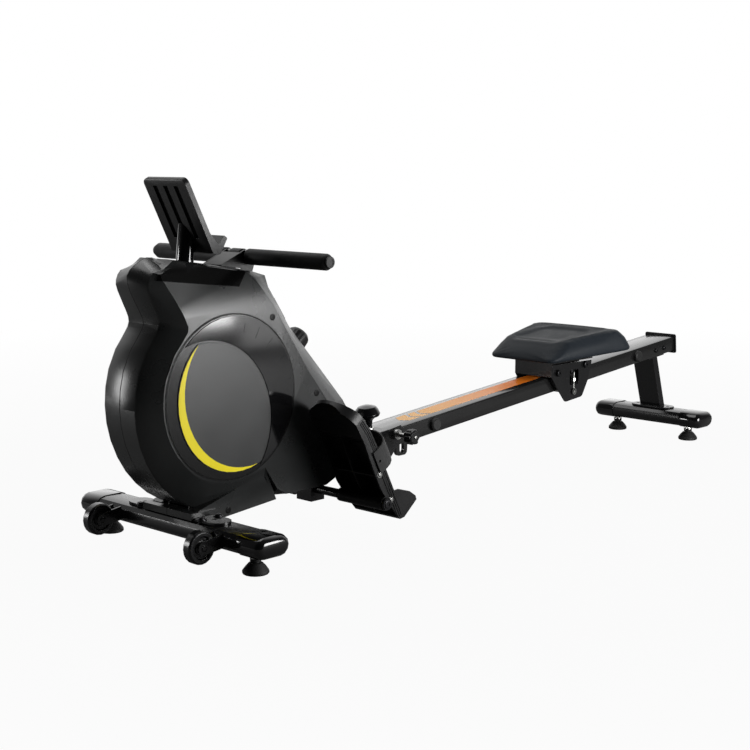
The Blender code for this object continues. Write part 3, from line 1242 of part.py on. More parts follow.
def tablet_holder(looks, frame):
    """A tray with a V lip at its foot and a ribbed back, rounded at its upper corners."""
    run = (Vector(HOLDER_FOOT) - Vector(HOLDER_TOP)).normalized()
    face = Vector((-run.y, run.x)) * HOLDER_THICKNESS
    top_front = tuple(Vector(HOLDER_TOP) + face)
    valley = tuple(Vector(HOLDER_FOOT) + face - run * 0.036)
    side = filleted([(*HOLDER_FOOT, 0.003), (0.060, 0.5445, 0.005), (0.077, 0.5735, 0.002),
                     (0.069, 0.579, 0.002), (0.056, 0.563, 0.003), (*valley, 0.006),
                     (*top_front, 0.003), (*HOLDER_TOP, 0.003)], 2)
    made = Shape().prism(side, -HOLDER_HALF, HOLDER_HALF).placed(
        "tablet_holder", looks["moulded"], frame)
    corner = 0.012
    trims = Shape()
    for sign in (-1, 1):
        outline = [(sign * (HOLDER_HALF + 0.004), 0.004), (sign * (HOLDER_HALF + 0.004), -corner)]
        outline += [(sign * (HOLDER_HALF - corner + corner * math.cos(math.radians(a))),
                     -corner + corner * math.sin(math.radians(a))) for a in range(0, 91, 18)]
        outline += [(sign * (HOLDER_HALF - corner), 0.004)]
        rings = []
        for out in (-0.004, HOLDER_THICKNESS + 0.004):
            ring = []
            for y, up in outline:
                spot = Vector(HOLDER_TOP) - run * up + face.normalized() * out
                ring.append((spot.x, y, spot.y))
            rings.append(ring)
        trims.loft(rings)
    for y in (-0.029, 0.0, 0.029):
        rings = []
        for out in (-0.002, 0.0045):
            ring = []
            for dy, down in ((-0.0055, 0.014), (0.0055, 0.014), (0.0055, 0.118), (-0.0055, 0.118)):
                spot = Vector(HOLDER_TOP) + run * down + face.normalized() * out
                ring.append((spot.x, y + dy, spot.y))
            rings.append(ring)
        trims.loft(rings)
    tray = []
    for out in (HOLDER_THICKNESS - 0.0025, HOLDER_THICKNESS + 0.002):
        ring = []
        for y, down in ((-0.050, 0.009), (0.050, 0.009), (0.050, 0.112), (-0.050, 0.112)):
            spot = Vector(HOLDER_TOP) + run * down + face.normalized() * out
            ring.append((spot.x, y, spot.y))
        tray.append(ring)
    trims.loft(tray)
    return carve(made, trims, "holder_cuts")


def column_axis():
    return Vector((math.sin(COLUMN_LEAN), 0, math.cos(COLUMN_LEAN)))


def holder_column(looks, frame):
    """The round post that carries the tablet holder, cut to the slope of its back."""
    foot = Vector((COLUMN_FOOT[0], 0, COLUMN_FOOT[1]))
    axis = column_axis()
    radius = COLUMN_DIAMETER / 2
    profile = [(radius - 0.003, 0), (radius, 0), (radius, 0.125), (radius - 0.003, 0.125)]
    made = Shape().turned(profile, tuple(foot), tuple(axis), 28).placed(
        "holder_column", looks["gloss"], frame)
    run = (Vector(HOLDER_FOOT) - Vector(HOLDER_TOP)).normalized()
    face = Vector((-run.y, run.x))
    low = Vector(HOLDER_FOOT) + run * 0.06 - face * GAP
    high = Vector(HOLDER_TOP) - run * 0.04 - face * GAP
    past = face * 0.12
    return carve(made, Shape().prism([tuple(low), tuple(low + past), tuple(high + past), tuple(high)],
                                     -0.03, 0.03), "column_cut")


# Tension dial and console, both on the rear slope
DIAL_ALONG = 0.065
DIAL_DIAMETER = 0.048
DIAL_HEIGHT = 0.030
DIAL_STUB = 0.0075
CONSOLE_LENGTH = 0.080
CONSOLE_HALF = 0.038
CONSOLE_THICKNESS = 0.005
SCREEN_HALF = 0.027
BUTTON_DIAMETER = 0.012


def slope_frame(high, low, along):
    """A point on the rear slope with its outward normal, as 3-D vectors."""
    x, z = on_slope(high, low, along)
    run = (Vector(low) - Vector(high)).normalized()
    return Vector((x, 0, z)), Vector((-run.y, 0, run.x)), Vector((run.x, 0, run.y))


def tension_dial_base(looks, frame):
    """The ring that the tension dial turns in, with a stub through the shell."""
    spot, normal, run = slope_frame(SLOPE_BEND, SLOPE_FOOT, DIAL_ALONG)
    radius = DIAL_DIAMETER / 2 + 0.004
    profile = [(0, -SHELL_WALL - 0.006), (DIAL_STUB, -SHELL_WALL - 0.006), (DIAL_STUB, GAP), (radius, GAP),
               (radius, 0.003), (radius - 0.003, 0.006), (0.0045, 0.006), (0.0045, 0.016),
               (0, 0.016)]
    return Shape().turned(profile, tuple(spot), tuple(normal), 22).placed(
        "tension_dial_base", looks["moulded"], frame)


def tension_knob(looks, joint):
    """A ribbed dial with a smooth crown, turned to set the magnets' distance."""
    spot, normal, run = slope_frame(SLOPE_BEND, SLOPE_FOOT, DIAL_ALONG)
    spin = Vector((0, 0, 1)).rotation_difference(normal).to_matrix()
    ribs, outer = 20, DIAL_DIAMETER / 2
    low = 0.006 + GAP + 0.0003
    rings = []
    for height, radius, depth in ((low, outer, 0.0), (low + 0.002, outer, 0.0009),
                                  (low + DIAL_HEIGHT - 0.007, outer - 0.001, 0.0009),
                                  (low + DIAL_HEIGHT - 0.005, outer - 0.002, 0.0),
                                  (low + DIAL_HEIGHT, outer - 0.006, 0.0)):
        ring = []
        for i in range(ribs * 2):
            angle = math.pi * i / ribs
            reach = radius - (depth if i % 2 else 0)
            point = Vector((reach * math.cos(angle), reach * math.sin(angle), height))
            ring.append(tuple(spot + spin @ point))
        rings.append(ring)
    made = Shape().loft(rings).placed("tension_knob", looks["moulded"], joint)
    bore = Shape().rod(tuple(spot + normal * 0.004), tuple(spot + normal * 0.0175), 0.0045 + GAP, 16)
    return carve(made, bore, "tension_knob_bore")


def slope_plate(high, low, start, length, half, base, top, corner):
    """A rounded plate lying on the rear slope, from base to top above its surface."""
    section = filleted([(start, -half, corner), (start + length, -half, corner),
                        (start + length, half, corner), (start, half, corner)], 3)
    rings = []
    for out in (base, top):
        ring = []
        for along, y in section:
            x, z = on_slope(high, low, along, out)
            ring.append((x, y, z))
        rings.append(ring)
    return Shape().loft(rings)


def console(looks, frame):
    """The small console let into the upper rear slope, with a window and a button hole."""
    start = 0.006
    made = slope_plate(SLOPE_TOP, SLOPE_BEND, start, CONSOLE_LENGTH, CONSOLE_HALF, GAP,
                       CONSOLE_THICKNESS, 0.008).placed("console", looks["gloss"], frame)
    window = slope_plate(SLOPE_TOP, SLOPE_BEND, start + 0.008, 0.042, SCREEN_HALF,
                         CONSOLE_THICKNESS - 0.0010, CONSOLE_THICKNESS + 0.002, 0.003)
    carve(made, window, "console_window")
    hole_spot, normal, run = slope_frame(SLOPE_TOP, SLOPE_BEND, start + 0.064)
    hole = Shape().rod(tuple(hole_spot + normal * 0.0012), tuple(hole_spot + normal * 0.009),
                       BUTTON_DIAMETER / 2 + GAP, 20)
    return carve(made, hole, "console_button_hole")


def console_button(looks, joint):
    """The round push button under the screen."""
    spot, normal, run = slope_frame(SLOPE_TOP, SLOPE_BEND, 0.070)
    radius = BUTTON_DIAMETER / 2
    profile = [(0, 0.0012 + GAP + BUTTON_TRAVEL), (radius, 0.0012 + GAP + BUTTON_TRAVEL),
               (radius, CONSOLE_THICKNESS + 0.001), (radius - 0.001, CONSOLE_THICKNESS + 0.0016),
               (0, CONSOLE_THICKNESS + 0.0018)]
    return Shape().turned(profile, tuple(spot), tuple(normal), 20).placed(
        "console_button", looks["yellow"], joint)


BUTTON_TRAVEL = 0.0012

# Foot plates: side outline, then the cup at the heel; both lean 63 degrees like the sole
PEDAL_INSIDE = 0.087
PEDAL_WIDTH = 0.1200
PEDAL_SOLE = [(0.386, 0.030), (0.333, 0.134), (0.311, 0.178), (0.290, 0.215), (0.264, 0.248)]
PEDAL_TOE = [(0.240, 0.269), (0.234, 0.264)]
PEDAL_BACK = [(0.233, 0.249), (0.254, 0.226), (0.277, 0.187), (0.300, 0.135), (0.321, 0.094),
              (0.341, 0.066), (0.374, 0.028)]
HEEL_LOBE = [(0.378, 0.036), (0.3862, 0.0298), (0.4212, 0.0590), (0.4180, 0.0670), (0.4010, 0.0785),
             (0.3710, 0.0875), (0.352, 0.086)]
PEDAL_SKIN = 0.004
BARREL_RADIUS = 0.0135
FOOT_STRAP_WIDTH = 0.047
FOOT_STRAP_RISE = 0.046
FOOT_STRAP_SKIN = 0.0026


def sole_frame():
    """The sole's direction from heel to toe, and its normal towards the rower."""
    heel, mid = Vector(PEDAL_SOLE[0]), Vector(PEDAL_SOLE[1])
    along = (mid - heel).normalized()
    return heel, along, Vector((along.y, -along.x))


def on_sole(y, along, out):
    heel, run, normal = sole_frame()
    spot = heel + run * along + normal * out
    return (spot.x, y, spot.y)


def foot_plate(name, side, looks, joint):
    """A moulded foot plate: ribbed sides, a heel cup, a hollow ribbed back and a bearing barrel."""
    inner, outer = PEDAL_INSIDE, PEDAL_INSIDE + PEDAL_WIDTH
    outline = PEDAL_SOLE + PEDAL_TOE + PEDAL_BACK
    made = Shape().prism(outline, side * inner, side * outer).placed(name, looks["pedal"], joint)
    carve(made, Shape().prism(HEEL_LOBE, side * (inner + 0.0002), side * (outer - 0.0002)),
          name + "_heel", "UNION")
    rails = Shape()
    for out in (-0.0030, -0.0080, -0.0130):
        ring = []
        for along, drop in ((0.125, 0), (0.010, 0), (0.010, 0.0024), (0.125, 0.0024)):
            ring.append(on_sole(0, along, out - drop))
        rails.prism([(x, z) for x, y, z in ring], side * (outer - 0.001), side * (outer + 0.0014))
    carve(made, rails, name + "_side_ribs", "UNION")
    cuts = Shape()
    cup = [on_sole(0, 0.005, GAP), on_sole(0, 0.017, 0.058), on_sole(0, 0.080, 0.058),
           on_sole(0, 0.080, GAP)]
    cuts.prism([(x, z) for x, y, z in cup], side * (inner + PEDAL_SKIN), side * (outer - PEDAL_SKIN))
    middle = (inner + outer) / 2
    for low, high in ((inner + PEDAL_SKIN, middle - 0.0015), (middle + 0.0015, outer - PEDAL_SKIN)):
        for bottom, top in ((0.010, 0.062), (0.065, 0.117), (0.120, 0.172)):
            pocket = [on_sole(0, bottom, -PEDAL_SKIN), on_sole(0, bottom, -0.060),
                      on_sole(0, top, -0.060), on_sole(0, top, -PEDAL_SKIN)]
            if top > 0.15:
                pocket = [on_sole(0, bottom, -PEDAL_SKIN), on_sole(0, bottom, -0.060),
                          on_sole(0, top + 0.034, -0.060), on_sole(0, top + 0.034, -0.030),
                          on_sole(0, top + 0.006, -PEDAL_SKIN - 0.005)]
            cuts.prism([(x, z) for x, y, z in pocket], side * low, side * high)
    carve(made, cuts, name + "_pockets")
    barrel = Shape().rod((CROSSBAR_X, side * (inner + 0.0004), CROSSBAR_Z),
                         (CROSSBAR_X, side * (outer - 0.0004), CROSSBAR_Z), BARREL_RADIUS, 24)
    carve(made, barrel, name + "_barrel", "UNION")
    trims = Shape()
    toe_run = (Vector(PEDAL_TOE[0]) - Vector(PEDAL_SOLE[2])).normalized()
    toe_out = Vector((toe_run.y, -toe_run.x))
    tip = Vector(PEDAL_TOE[0]) + toe_run * 0.0005
    depth, half = 0.046, PEDAL_WIDTH / 2
    for hand in (-1, 1):
        outline = [(hand * (half + 0.006), depth), (hand * (half + 0.0002), depth)]
        for degrees in range(12, 91, 13):
            angle = math.radians(degrees)
            outline.append((hand * (half + 0.0002) * math.cos(angle), depth * (1 - math.sin(angle))))
        outline += [(0, -0.02), (hand * (half + 0.006), -0.02)]
        rings = []
        for out in (-0.05, 0.03):
            rings.append([(*(tip - toe_run * back + toe_out * out), side * middle + y)
                          for y, back in outline])
        trims.loft([[(x, y, z) for x, z, y in ring] for ring in rings])
    bore = (CROSSBAR_DIAMETER / 2) + RUN
    trims.rod((CROSSBAR_X, side * (inner - 0.01), CROSSBAR_Z),
              (CROSSBAR_X, side * (outer + 0.01), CROSSBAR_Z), bore, 24)
    for y in (side * (inner + 0.002), side * (outer - 0.002)):
        at = on_sole(0, STRAP_ALONG, -STRAP_BOLT_DROP)
        trims.rod((at[0], y - 0.008, at[2]), (at[0], y + 0.008, at[2]), SCREW / 2 + GAP, 10)
    return carve(made, trims, name + "_trims")


STRAP_ALONG = 0.1415     # middle of the foot strap, measured from the heel along the sole
STRAP_BOLT_DROP = 0.010


def foot_strap(name, side, looks, joint):
    """A wide band that arches over the foot and is screwed to both sides of the plate."""
    inner, outer = PEDAL_INSIDE - GAP, PEDAL_INSIDE + PEDAL_WIDTH + 0.0014 + GAP
    middle, half = (inner + outer) / 2, (outer - inner) / 2
    skin = FOOT_STRAP_SKIN
    drop = STRAP_BOLT_DROP + 0.008

    def path(grow):
        reach = half + grow
        points = [(-reach, -drop), (-reach, 0.0)]
        for degrees in range(165, 14, -15):
            angle = math.radians(degrees)
            points.append((reach * math.cos(angle),
                           (FOOT_STRAP_RISE + grow) * math.sin(angle)))
        return points + [(reach, 0.0), (reach, -drop)]

    outline = path(skin) + path(0)[::-1]
    rings = []
    for along in (STRAP_ALONG - FOOT_STRAP_WIDTH / 2, STRAP_ALONG + FOOT_STRAP_WIDTH / 2):
        rings.append([on_sole(side * middle + y, along, out) for y, out in outline])
    made = Shape().loft(rings).placed(name, looks["webbing"], joint)
    holes = Shape()
    for y in (side * inner, side * outer):
        at = on_sole(0, STRAP_ALONG, -STRAP_BOLT_DROP)
        holes.rod((at[0], y - 0.006, at[2]), (at[0], y + 0.006, at[2]), SCREW / 2 + GAP, 10)
    return carve(made, holes, name + "_holes")

# Seat: trapezoid outlines, narrow at the front, each with its own height front and rear
CHANNEL_TOP = 0.2440
CHANNEL_X = (1.0580, 1.2210)
PLATE_OUTLINE = [(1.0610, 0.2390, 0.002), (1.0610, 0.2080, 0.006), (1.0840, 0.1810, 0.006),
                 (1.1140, 0.1470, 0.010), (1.1800, 0.1530, 0.012), (1.2030, 0.1900, 0.008),
                 (1.2180, 0.2370, 0.003)]
WINDOW = (1.1300, 1.1650, 0.1850, 0.2240)
UPPER_ROLLER_X = (1.0850, 1.1920)
LOWER_ROLLER_X = 1.1420
RAIL_CLEAR_Z = line_z(CHANNEL_X[0]) + RAIL_TOP + 0.003
GUIDE_X = 1.1475
GUIDE_RADIUS = 0.0045
ROLLER_PIN = 0.006
ROLLER_PLACES = {
    "roller_front": (UPPER_ROLLER_X[0], True), "roller_rear": (UPPER_ROLLER_X[1], True),
    "roller_lower": (LOWER_ROLLER_X, False)}


def roller_point(x, above):
    """Centre of a roller that runs on top of the rail, or under it."""
    reach = RAIL_TOP + ROLLER_RADIUS + GAP
    return rail_point(x, reach if above else -reach)


def seat_ring(front, rear, corner, steps=5):
    """A rounded trapezoid; front and rear are (x, half width, z)."""
    (fx, fy, fz), (rx, ry, rz) = front, rear
    flat = filleted([(fx, fy, corner), (fx, -fy, corner), (rx, -ry, corner), (rx, ry, corner)], steps)
    return [(x, y, fz + (rz - fz) * (x - fx) / (rx - fx)) for x, y in flat]


def seat_cushion(looks, joint):
    """A moulded saddle: sloping sides, a crisp ridge all round and a dished top."""
    rings = [seat_ring((1.022, 0.078, 0.2500), (1.258, 0.126, 0.2640), 0.020),
             seat_ring((1.010, 0.089, 0.2510), (1.268, 0.138, 0.2650), 0.022),
             seat_ring((1.007, 0.092, 0.2545), (1.270, 0.142, 0.2685), 0.024),
             seat_ring((1.009, 0.0925, 0.2600), (1.269, 0.142, 0.2740), 0.024),
             seat_ring((1.040, 0.0920, 0.2805), (1.256, 0.1365, 0.2965), 0.024),
             seat_ring((1.062, 0.0895, 0.2940), (1.240, 0.1285, 0.3110), 0.022),
             seat_ring((1.0665, 0.0865, 0.2965), (1.2345, 0.1245, 0.3140), 0.020),
             seat_ring((1.0740, 0.0810, 0.2962), (1.2240, 0.1150, 0.3125), 0.018),
             seat_ring((1.0800, 0.0750, 0.2930), (1.2130, 0.1020, 0.3080), 0.016),
             seat_ring((1.0950, 0.0580, 0.2905), (1.1980, 0.0800, 0.3035), 0.014),
             seat_ring((1.1200, 0.0280, 0.2905), (1.1750, 0.0400, 0.3005), 0.010)]
    return Shape().loft(rings).placed("seat_cushion", looks["seat"], joint)


def seat_base(looks, joint):
    """The pan that carries the cushion on the carriage."""
    rings = [seat_ring((1.066, 0.046, CHANNEL_TOP + GAP), (1.214, 0.046, CHANNEL_TOP + GAP), 0.008),
             seat_ring((1.062, 0.050, 0.2468), (1.218, 0.052, 0.2500), 0.010),
             seat_ring((1.036, 0.066, 0.2488), (1.244, 0.106, 0.2610), 0.016),
             seat_ring((1.034, 0.068, 0.25015), (1.246, 0.108, 0.26275), 0.016)]
    return Shape().loft(rings).placed("seat_base", looks["moulded"], joint)


def carriage(looks, joint):
    """The welded carriage: a folded channel, two cheeks with windows, lugs and stop tabs."""
    inner, outer = CARRIAGE_HALF - PLATE_THICKNESS, CARRIAGE_HALF
    x0, x1 = CHANNEL_X
    top = CHANNEL_TOP - SHEET
    made = Shape().block((x0, -outer + 0.0003, top), (x1, outer - 0.0003, CHANNEL_TOP)).placed(
        "carriage", looks["steel_black"], joint)
    carve(made, Shape().pair(filleted(PLATE_OUTLINE, 3), inner, outer), "cheeks", "UNION")
    lip = Shape().block((x0, -outer + 0.0005, RAIL_CLEAR_Z), (x0 + SHEET, outer - 0.0005, top + 0.001))
    carve(made, lip, "front_lip", "UNION")
    lugs = Shape()
    reach = RAIL_WIDTH / 2 + 0.0012
    x0, x1, z0, z1 = WINDOW
    for low, high in ((z0 - 0.0045, z0 - 0.0015), (z1 - 0.0005, z1 + 0.0025)):
        lugs.pair([(x0 + 0.006, low), (x1 - 0.006, low), (x1 - 0.006, high), (x0 + 0.006, high)],
                  reach, inner + 0.001)
    for first, last in ((1, 2), (6, 5)):
        lugs.pair(stop_tab(PLATE_OUTLINE[first][:2], PLATE_OUTLINE[last][:2]), reach, outer - GAP)
    carve(made, lugs, "plate_lugs", "UNION")
    holes = Shape()
    window = filleted([(x0, z0, 0.005), (x1, z0, 0.005), (x1, z1 - 0.003, 0.005),
                       (x0, z1 - 0.003, 0.005)])
    holes.pair(window, inner - 0.0002, outer + 0.004)
    for x, above in ROLLER_PLACES.values():
        cx, cz = roller_point(x, above)
        holes.rod((cx, -0.06, cz), (cx, 0.06, cz), ROLLER_PIN / 2 + GAP, 14)
    carve(made, holes, "plate_holes")
    posts = Shape()
    for side in (-1, 1):
        y = side * guide_y()
        posts.rod((GUIDE_X, y, z0 - 0.0020), (GUIDE_X, y, z1 + 0.0005), GUIDE_RADIUS, 10)
    return carve(made, posts, "guide_posts", "UNION")


def stop_tab(upper, lower):
    """A tab folded in from a sloping edge of the cheek; it meets the rubber stop."""
    start, end = Vector(upper), Vector(lower)
    run = (end - start).normalized()
    inwards = Vector((-run.y, run.x))
    if inwards.dot(Vector((GUIDE_X, WINDOW[2])) - start) < 0:
        inwards = -inwards
    span = (end - start).length
    corners = [start + run * span * 0.16, start + run * span * 0.84]
    corners += [corners[1] + inwards * SHEET, corners[0] + inwards * SHEET]
    return [tuple(corner + inwards * GAP) for corner in corners]


def guide_y():
    """How far out the upright guide rollers stand, so that they just clear the rail's sides."""
    return RAIL_WIDTH / 2 + GUIDE_RADIUS + RUN


def roller(name, x, above, looks, joint):
    """A roller turned in one piece with its axle, which runs in both cheeks."""
    cx, cz = roller_point(x, above)
    tread, axle = ROLLER_Y + ROLLER_WIDTH / 2, ROLLER_PIN / 2
    head = CARRIAGE_HALF + GAP
    half = [(ROLLER_RADIUS - 0.002, 0), (ROLLER_RADIUS - 0.002, ROLLER_Y - ROLLER_WIDTH / 2),
            (ROLLER_RADIUS, ROLLER_Y - ROLLER_WIDTH / 2 + 0.002), (ROLLER_RADIUS, tread - 0.001),
            (ROLLER_RADIUS - 0.001, tread), (axle, tread), (axle, head), (0.0052, head),
            (0.0035, head + 0.0026), (0, head + 0.003)]
    profile = [(r, -along) for r, along in reversed(half[1:])] + half[1:]
    return Shape().turned(profile, (cx, 0, cz), (0, 1, 0), 14).placed(name, looks["zinc"], joint)


def clear_scene():
    for existing in list(bpy.data.objects):
        bpy.data.objects.remove(existing, do_unlink=True)


def all_looks():
    return {
        "steel_black": material("steel_black", (0.012, 0.013, 0.014), 0.32),
        "rail_grey": material("rail_grey", (0.030, 0.031, 0.032), 0.38),
        "housing": material("housing", (0.020, 0.021, 0.021), 0.42),
        "disc": material("disc", (0.024, 0.025, 0.025), 0.55),
        "gloss": material("gloss", (0.008, 0.008, 0.009), 0.12),
        "moulded": material("moulded", (0.013, 0.013, 0.014), 0.48),
        "pedal": material("pedal", (0.016, 0.016, 0.017), 0.50),
        "rubber": material("rubber", (0.010, 0.010, 0.010), 0.75),
        "tyre": material("tyre", (0.014, 0.014, 0.015), 0.55),
        "grip": material("grip", (0.010, 0.010, 0.011), 0.60),
        "webbing": material("webbing", (0.012, 0.012, 0.013), 0.85),
        "seat": material("seat", (0.012, 0.014, 0.018), 0.55),
        "yellow": material("yellow", (0.90, 0.72, 0.02), 0.35),
        "zinc": material("zinc", (0.62, 0.62, 0.60), 0.28, 1.0),
        "cast_iron": material("cast_iron", (0.12, 0.12, 0.12), 0.5, 0.9),
    }


def build():
    clear_scene()
    looks = all_looks()
    frame = joint_empty("machine", (0, 0, 0), None)
    frame.location = (-CENTRE_X, 0, 0)
    rail_axis = joint_empty("rail_axis", (PIVOT_X, 0, PIVOT[1]), frame)

    front_stabilizer(looks, frame)
    for side, hand in ((-1, "left"), (1, "right")):
        end_cap("front_cap_" + hand, 0, FRONT_BEAM_LENGTH, FRONT_FOOT_Y, side, looks, frame)
        end_cap("rear_cap_" + hand, REAR_BEAM_X, REAR_BEAM_LENGTH, REAR_FOOT_Y, side, looks,
                rail_axis)
        transport_wheel("transport_wheel_" + hand, side * WHEEL_Y, looks, frame)
        levelling_foot("front_foot_" + hand, 0, side * FRONT_FOOT_Y, looks, frame)
        levelling_foot("rear_foot_" + hand, REAR_BEAM_X, side * REAR_FOOT_Y, looks, frame)
    main_frame(looks, frame)
    pedal_crossbar(looks, frame)

    for side, hand in ((-1, "left"), (1, "right")):
        housing_shell("housing_" + hand, side, looks, frame)
        disc_cover("disc_cover_" + hand, side, looks, frame)
        ring_trim("ring_trim_" + hand, side, looks, frame)
        accent("accent_" + hand, side, looks, frame)
    top_cap(looks, frame)

    wheel_axis = joint_empty("flywheel_axis", (FLYWHEEL[0], 0, FLYWHEEL[1]), frame)
    flywheel(looks, wheel_axis)
    flywheel_axle(looks, frame)
    drive_wheel(looks, joint_empty("drive_wheel_axis", (FLYWHEEL[0], 0, FLYWHEEL[1]), frame))
    strap_reel(looks, joint_empty("reel_axis", (SPOOL[0], 0, SPOOL[1]), frame))
    drive_belt(looks, frame)
    rewind_spring(looks, frame)
    magnet_axis = joint_empty("magnet_axis", (MAGNET_PIVOT[0], 0, MAGNET_PIVOT[1]), frame)
    magnet_bracket(looks, magnet_axis)

    strap_hood(looks, frame)
    roller_axis = joint_empty("guide_roller_axis", (GUIDE_ROLLER[0], 0, GUIDE_ROLLER[1]), frame)
    guide_roller(looks, roller_axis)
    handle_slide = joint_empty("handle_slide", (HANDLE_X, 0, HANDLE_Z), frame)
    handle_bar(looks, handle_slide)
    handle_grip("handle_grip_left", -1, looks, handle_slide)
    handle_grip("handle_grip_right", 1, looks, handle_slide)
    pull_strap(looks, handle_slide)
    tablet_holder(looks, frame)
    holder_column(looks, frame)

    tension_dial_base(looks, frame)
    dial_spot = slope_frame(SLOPE_BEND, SLOPE_FOOT, DIAL_ALONG)[0]
    tension_knob(looks, joint_empty("tension_axis", tuple(dial_spot), frame))
    console(looks, frame)
    button_spot = slope_frame(SLOPE_TOP, SLOPE_BEND, 0.070)[0]
    console_button(looks, joint_empty("button_axis", tuple(button_spot), frame))

    for side, hand in ((-1, "left"), (1, "right")):
        axis = joint_empty("foot_plate_axis_" + hand, (CROSSBAR_X, 0, CROSSBAR_Z), frame)
        foot_plate("foot_plate_" + hand, side, looks, axis)
        foot_strap("foot_strap_" + hand, side, looks, axis)

    pivot_bolt(looks, frame)
    hand_knob(looks, joint_empty("hand_knob_axis", (PIVOT_X, HAND_KNOB_Y, PIVOT[1]), frame))
    lock_base = rail_point(LOCK_X, RAIL_TOP)
    lock_knob(looks, joint_empty("lock_axis", (lock_base[0], 0, lock_base[1]), frame))
    seat_rail(looks, rail_axis)
    rail_end_cap(looks, rail_axis)
    rail_bumper("rail_bumper_front", BUMPER_X[0], looks, rail_axis)
    rail_bumper("rail_bumper_rear", BUMPER_X[1], looks, rail_axis)
    rear_upright(looks, rail_axis)
    rear_stabilizer(looks, rail_axis)

    seat_mid = rail_point(SEAT_X, RAIL_TOP)
    seat_slide = joint_empty("seat_slide", (seat_mid[0], 0, seat_mid[1]), frame)
    seat_cushion(looks, seat_slide)
    seat_base(looks, seat_slide)
    carriage(looks, seat_slide)
    for name, (x, above) in ROLLER_PLACES.items():
        cx, cz = roller_point(x, above)
        roller(name, x, above, looks, joint_empty(name + "_axis", (cx, 0, cz), frame))


build()
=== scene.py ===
"""A magnetic rowing machine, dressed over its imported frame: studio first, then the machine
from the floor up, in the order in which it is put together."""
import json
import math

import bmesh
import bpy
from mathutils import Matrix, Vector
from mathutils.bvhtree import BVHTree

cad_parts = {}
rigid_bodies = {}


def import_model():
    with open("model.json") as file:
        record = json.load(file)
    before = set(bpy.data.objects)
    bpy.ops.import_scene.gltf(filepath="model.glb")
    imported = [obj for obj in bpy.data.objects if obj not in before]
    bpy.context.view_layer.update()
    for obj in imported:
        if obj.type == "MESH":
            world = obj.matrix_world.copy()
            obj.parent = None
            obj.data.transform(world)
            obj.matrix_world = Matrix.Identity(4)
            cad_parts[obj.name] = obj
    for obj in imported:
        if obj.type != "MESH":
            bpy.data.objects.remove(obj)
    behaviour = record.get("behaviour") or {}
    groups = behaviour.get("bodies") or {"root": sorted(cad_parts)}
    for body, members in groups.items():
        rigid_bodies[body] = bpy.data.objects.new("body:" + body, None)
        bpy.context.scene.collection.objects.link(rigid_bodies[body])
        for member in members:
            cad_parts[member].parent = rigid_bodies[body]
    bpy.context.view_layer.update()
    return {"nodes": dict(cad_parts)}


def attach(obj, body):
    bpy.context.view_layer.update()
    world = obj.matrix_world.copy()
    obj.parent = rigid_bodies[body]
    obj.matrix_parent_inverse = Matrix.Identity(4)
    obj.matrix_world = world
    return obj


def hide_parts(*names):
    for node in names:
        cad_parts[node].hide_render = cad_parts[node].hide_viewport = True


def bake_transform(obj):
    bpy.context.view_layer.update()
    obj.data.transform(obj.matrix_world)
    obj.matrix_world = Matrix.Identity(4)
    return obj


scene = bpy.context.scene
for leftover in list(bpy.data.objects):
    bpy.data.objects.remove(leftover)
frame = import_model()


# Studio: a floor that shows white and a bright room behind and above the machine, dimmer towards
# the viewer, seen by the camera that the photograph's straight edges give.
CAMERA_PLACE = (-2.3755, -2.047, 0.720)
CAMERA_RIGHT = Vector((0.6888, -0.7249, 0.0)).normalized()
CAMERA_AHEAD = Vector((0.7168, 0.6810, -0.1495)).normalized()
SENSOR_WIDTH = 36.0
FOCAL_LENGTH = 69.725
# The room's light: a direction, how far towards it a change starts and ends, and the strengths
# before and after that change.
ROOM_LOBES = (((0.70, 0.68, 0.22), 0.30, 0.95, 0.06, 1.15),
              ((-0.72, -0.68, 0.15), 0.10, 0.85, 1.00, 0.10))
# Lamps: name, place, the point they face, width, height and power.
LAMPS = (("lamp_right", (0.46, -2.05, 0.57), (0.46, 0.0, 0.57), 1.14, 0.90, 48.0),
         ("card_grey", (1.37, -2.05, 0.36), (1.37, 0.0, 0.36), 0.60, 0.66, 2.2),
         ("lamp_left", (-1.66, 1.06, 0.42), (-0.86, 0.0, 0.36), 0.36, 0.46, 6.0),
         ("lamp_above", (-0.3, 0.9, 2.9), (0.0, 0.0, 0.2), 2.0, 2.0, 26.0))
FLOOR_HALF = 9.0
FLOOR_GREY = 0.16
FLOOR_ROUGHNESS = 0.9
WHITE_NEAR, WHITE_FAR = 0.95, 1.0
FADE_NEAR, FADE_FAR = 1.0, 3.2


def ranged(nodes, low, high, least=0.0, most=1.0):
    """A node that turns low..high into least..most and holds at both ends."""
    made = nodes.new("ShaderNodeMapRange")
    for label, value in (("From Min", low), ("From Max", high), ("To Min", least),
                         ("To Max", most)):
        made.inputs[label].default_value = value
    return made


def reckoned(nodes, operation, kind="ShaderNodeMath"):
    """A node that does one sum on numbers, or on vectors."""
    made = nodes.new(kind)
    made.operation = operation
    return made


eye = bpy.data.cameras.new("camera")
eye.sensor_width = SENSOR_WIDTH
eye.lens = FOCAL_LENGTH
camera = bpy.data.objects.new("camera", eye)
scene.collection.objects.link(camera)
upward = CAMERA_RIGHT.cross(CAMERA_AHEAD)
turned = Matrix((CAMERA_RIGHT, upward, -CAMERA_AHEAD)).transposed().to_4x4()
camera.matrix_world = Matrix.Translation(CAMERA_PLACE) @ turned
scene.camera = camera
scene.view_settings.view_transform = "Standard"

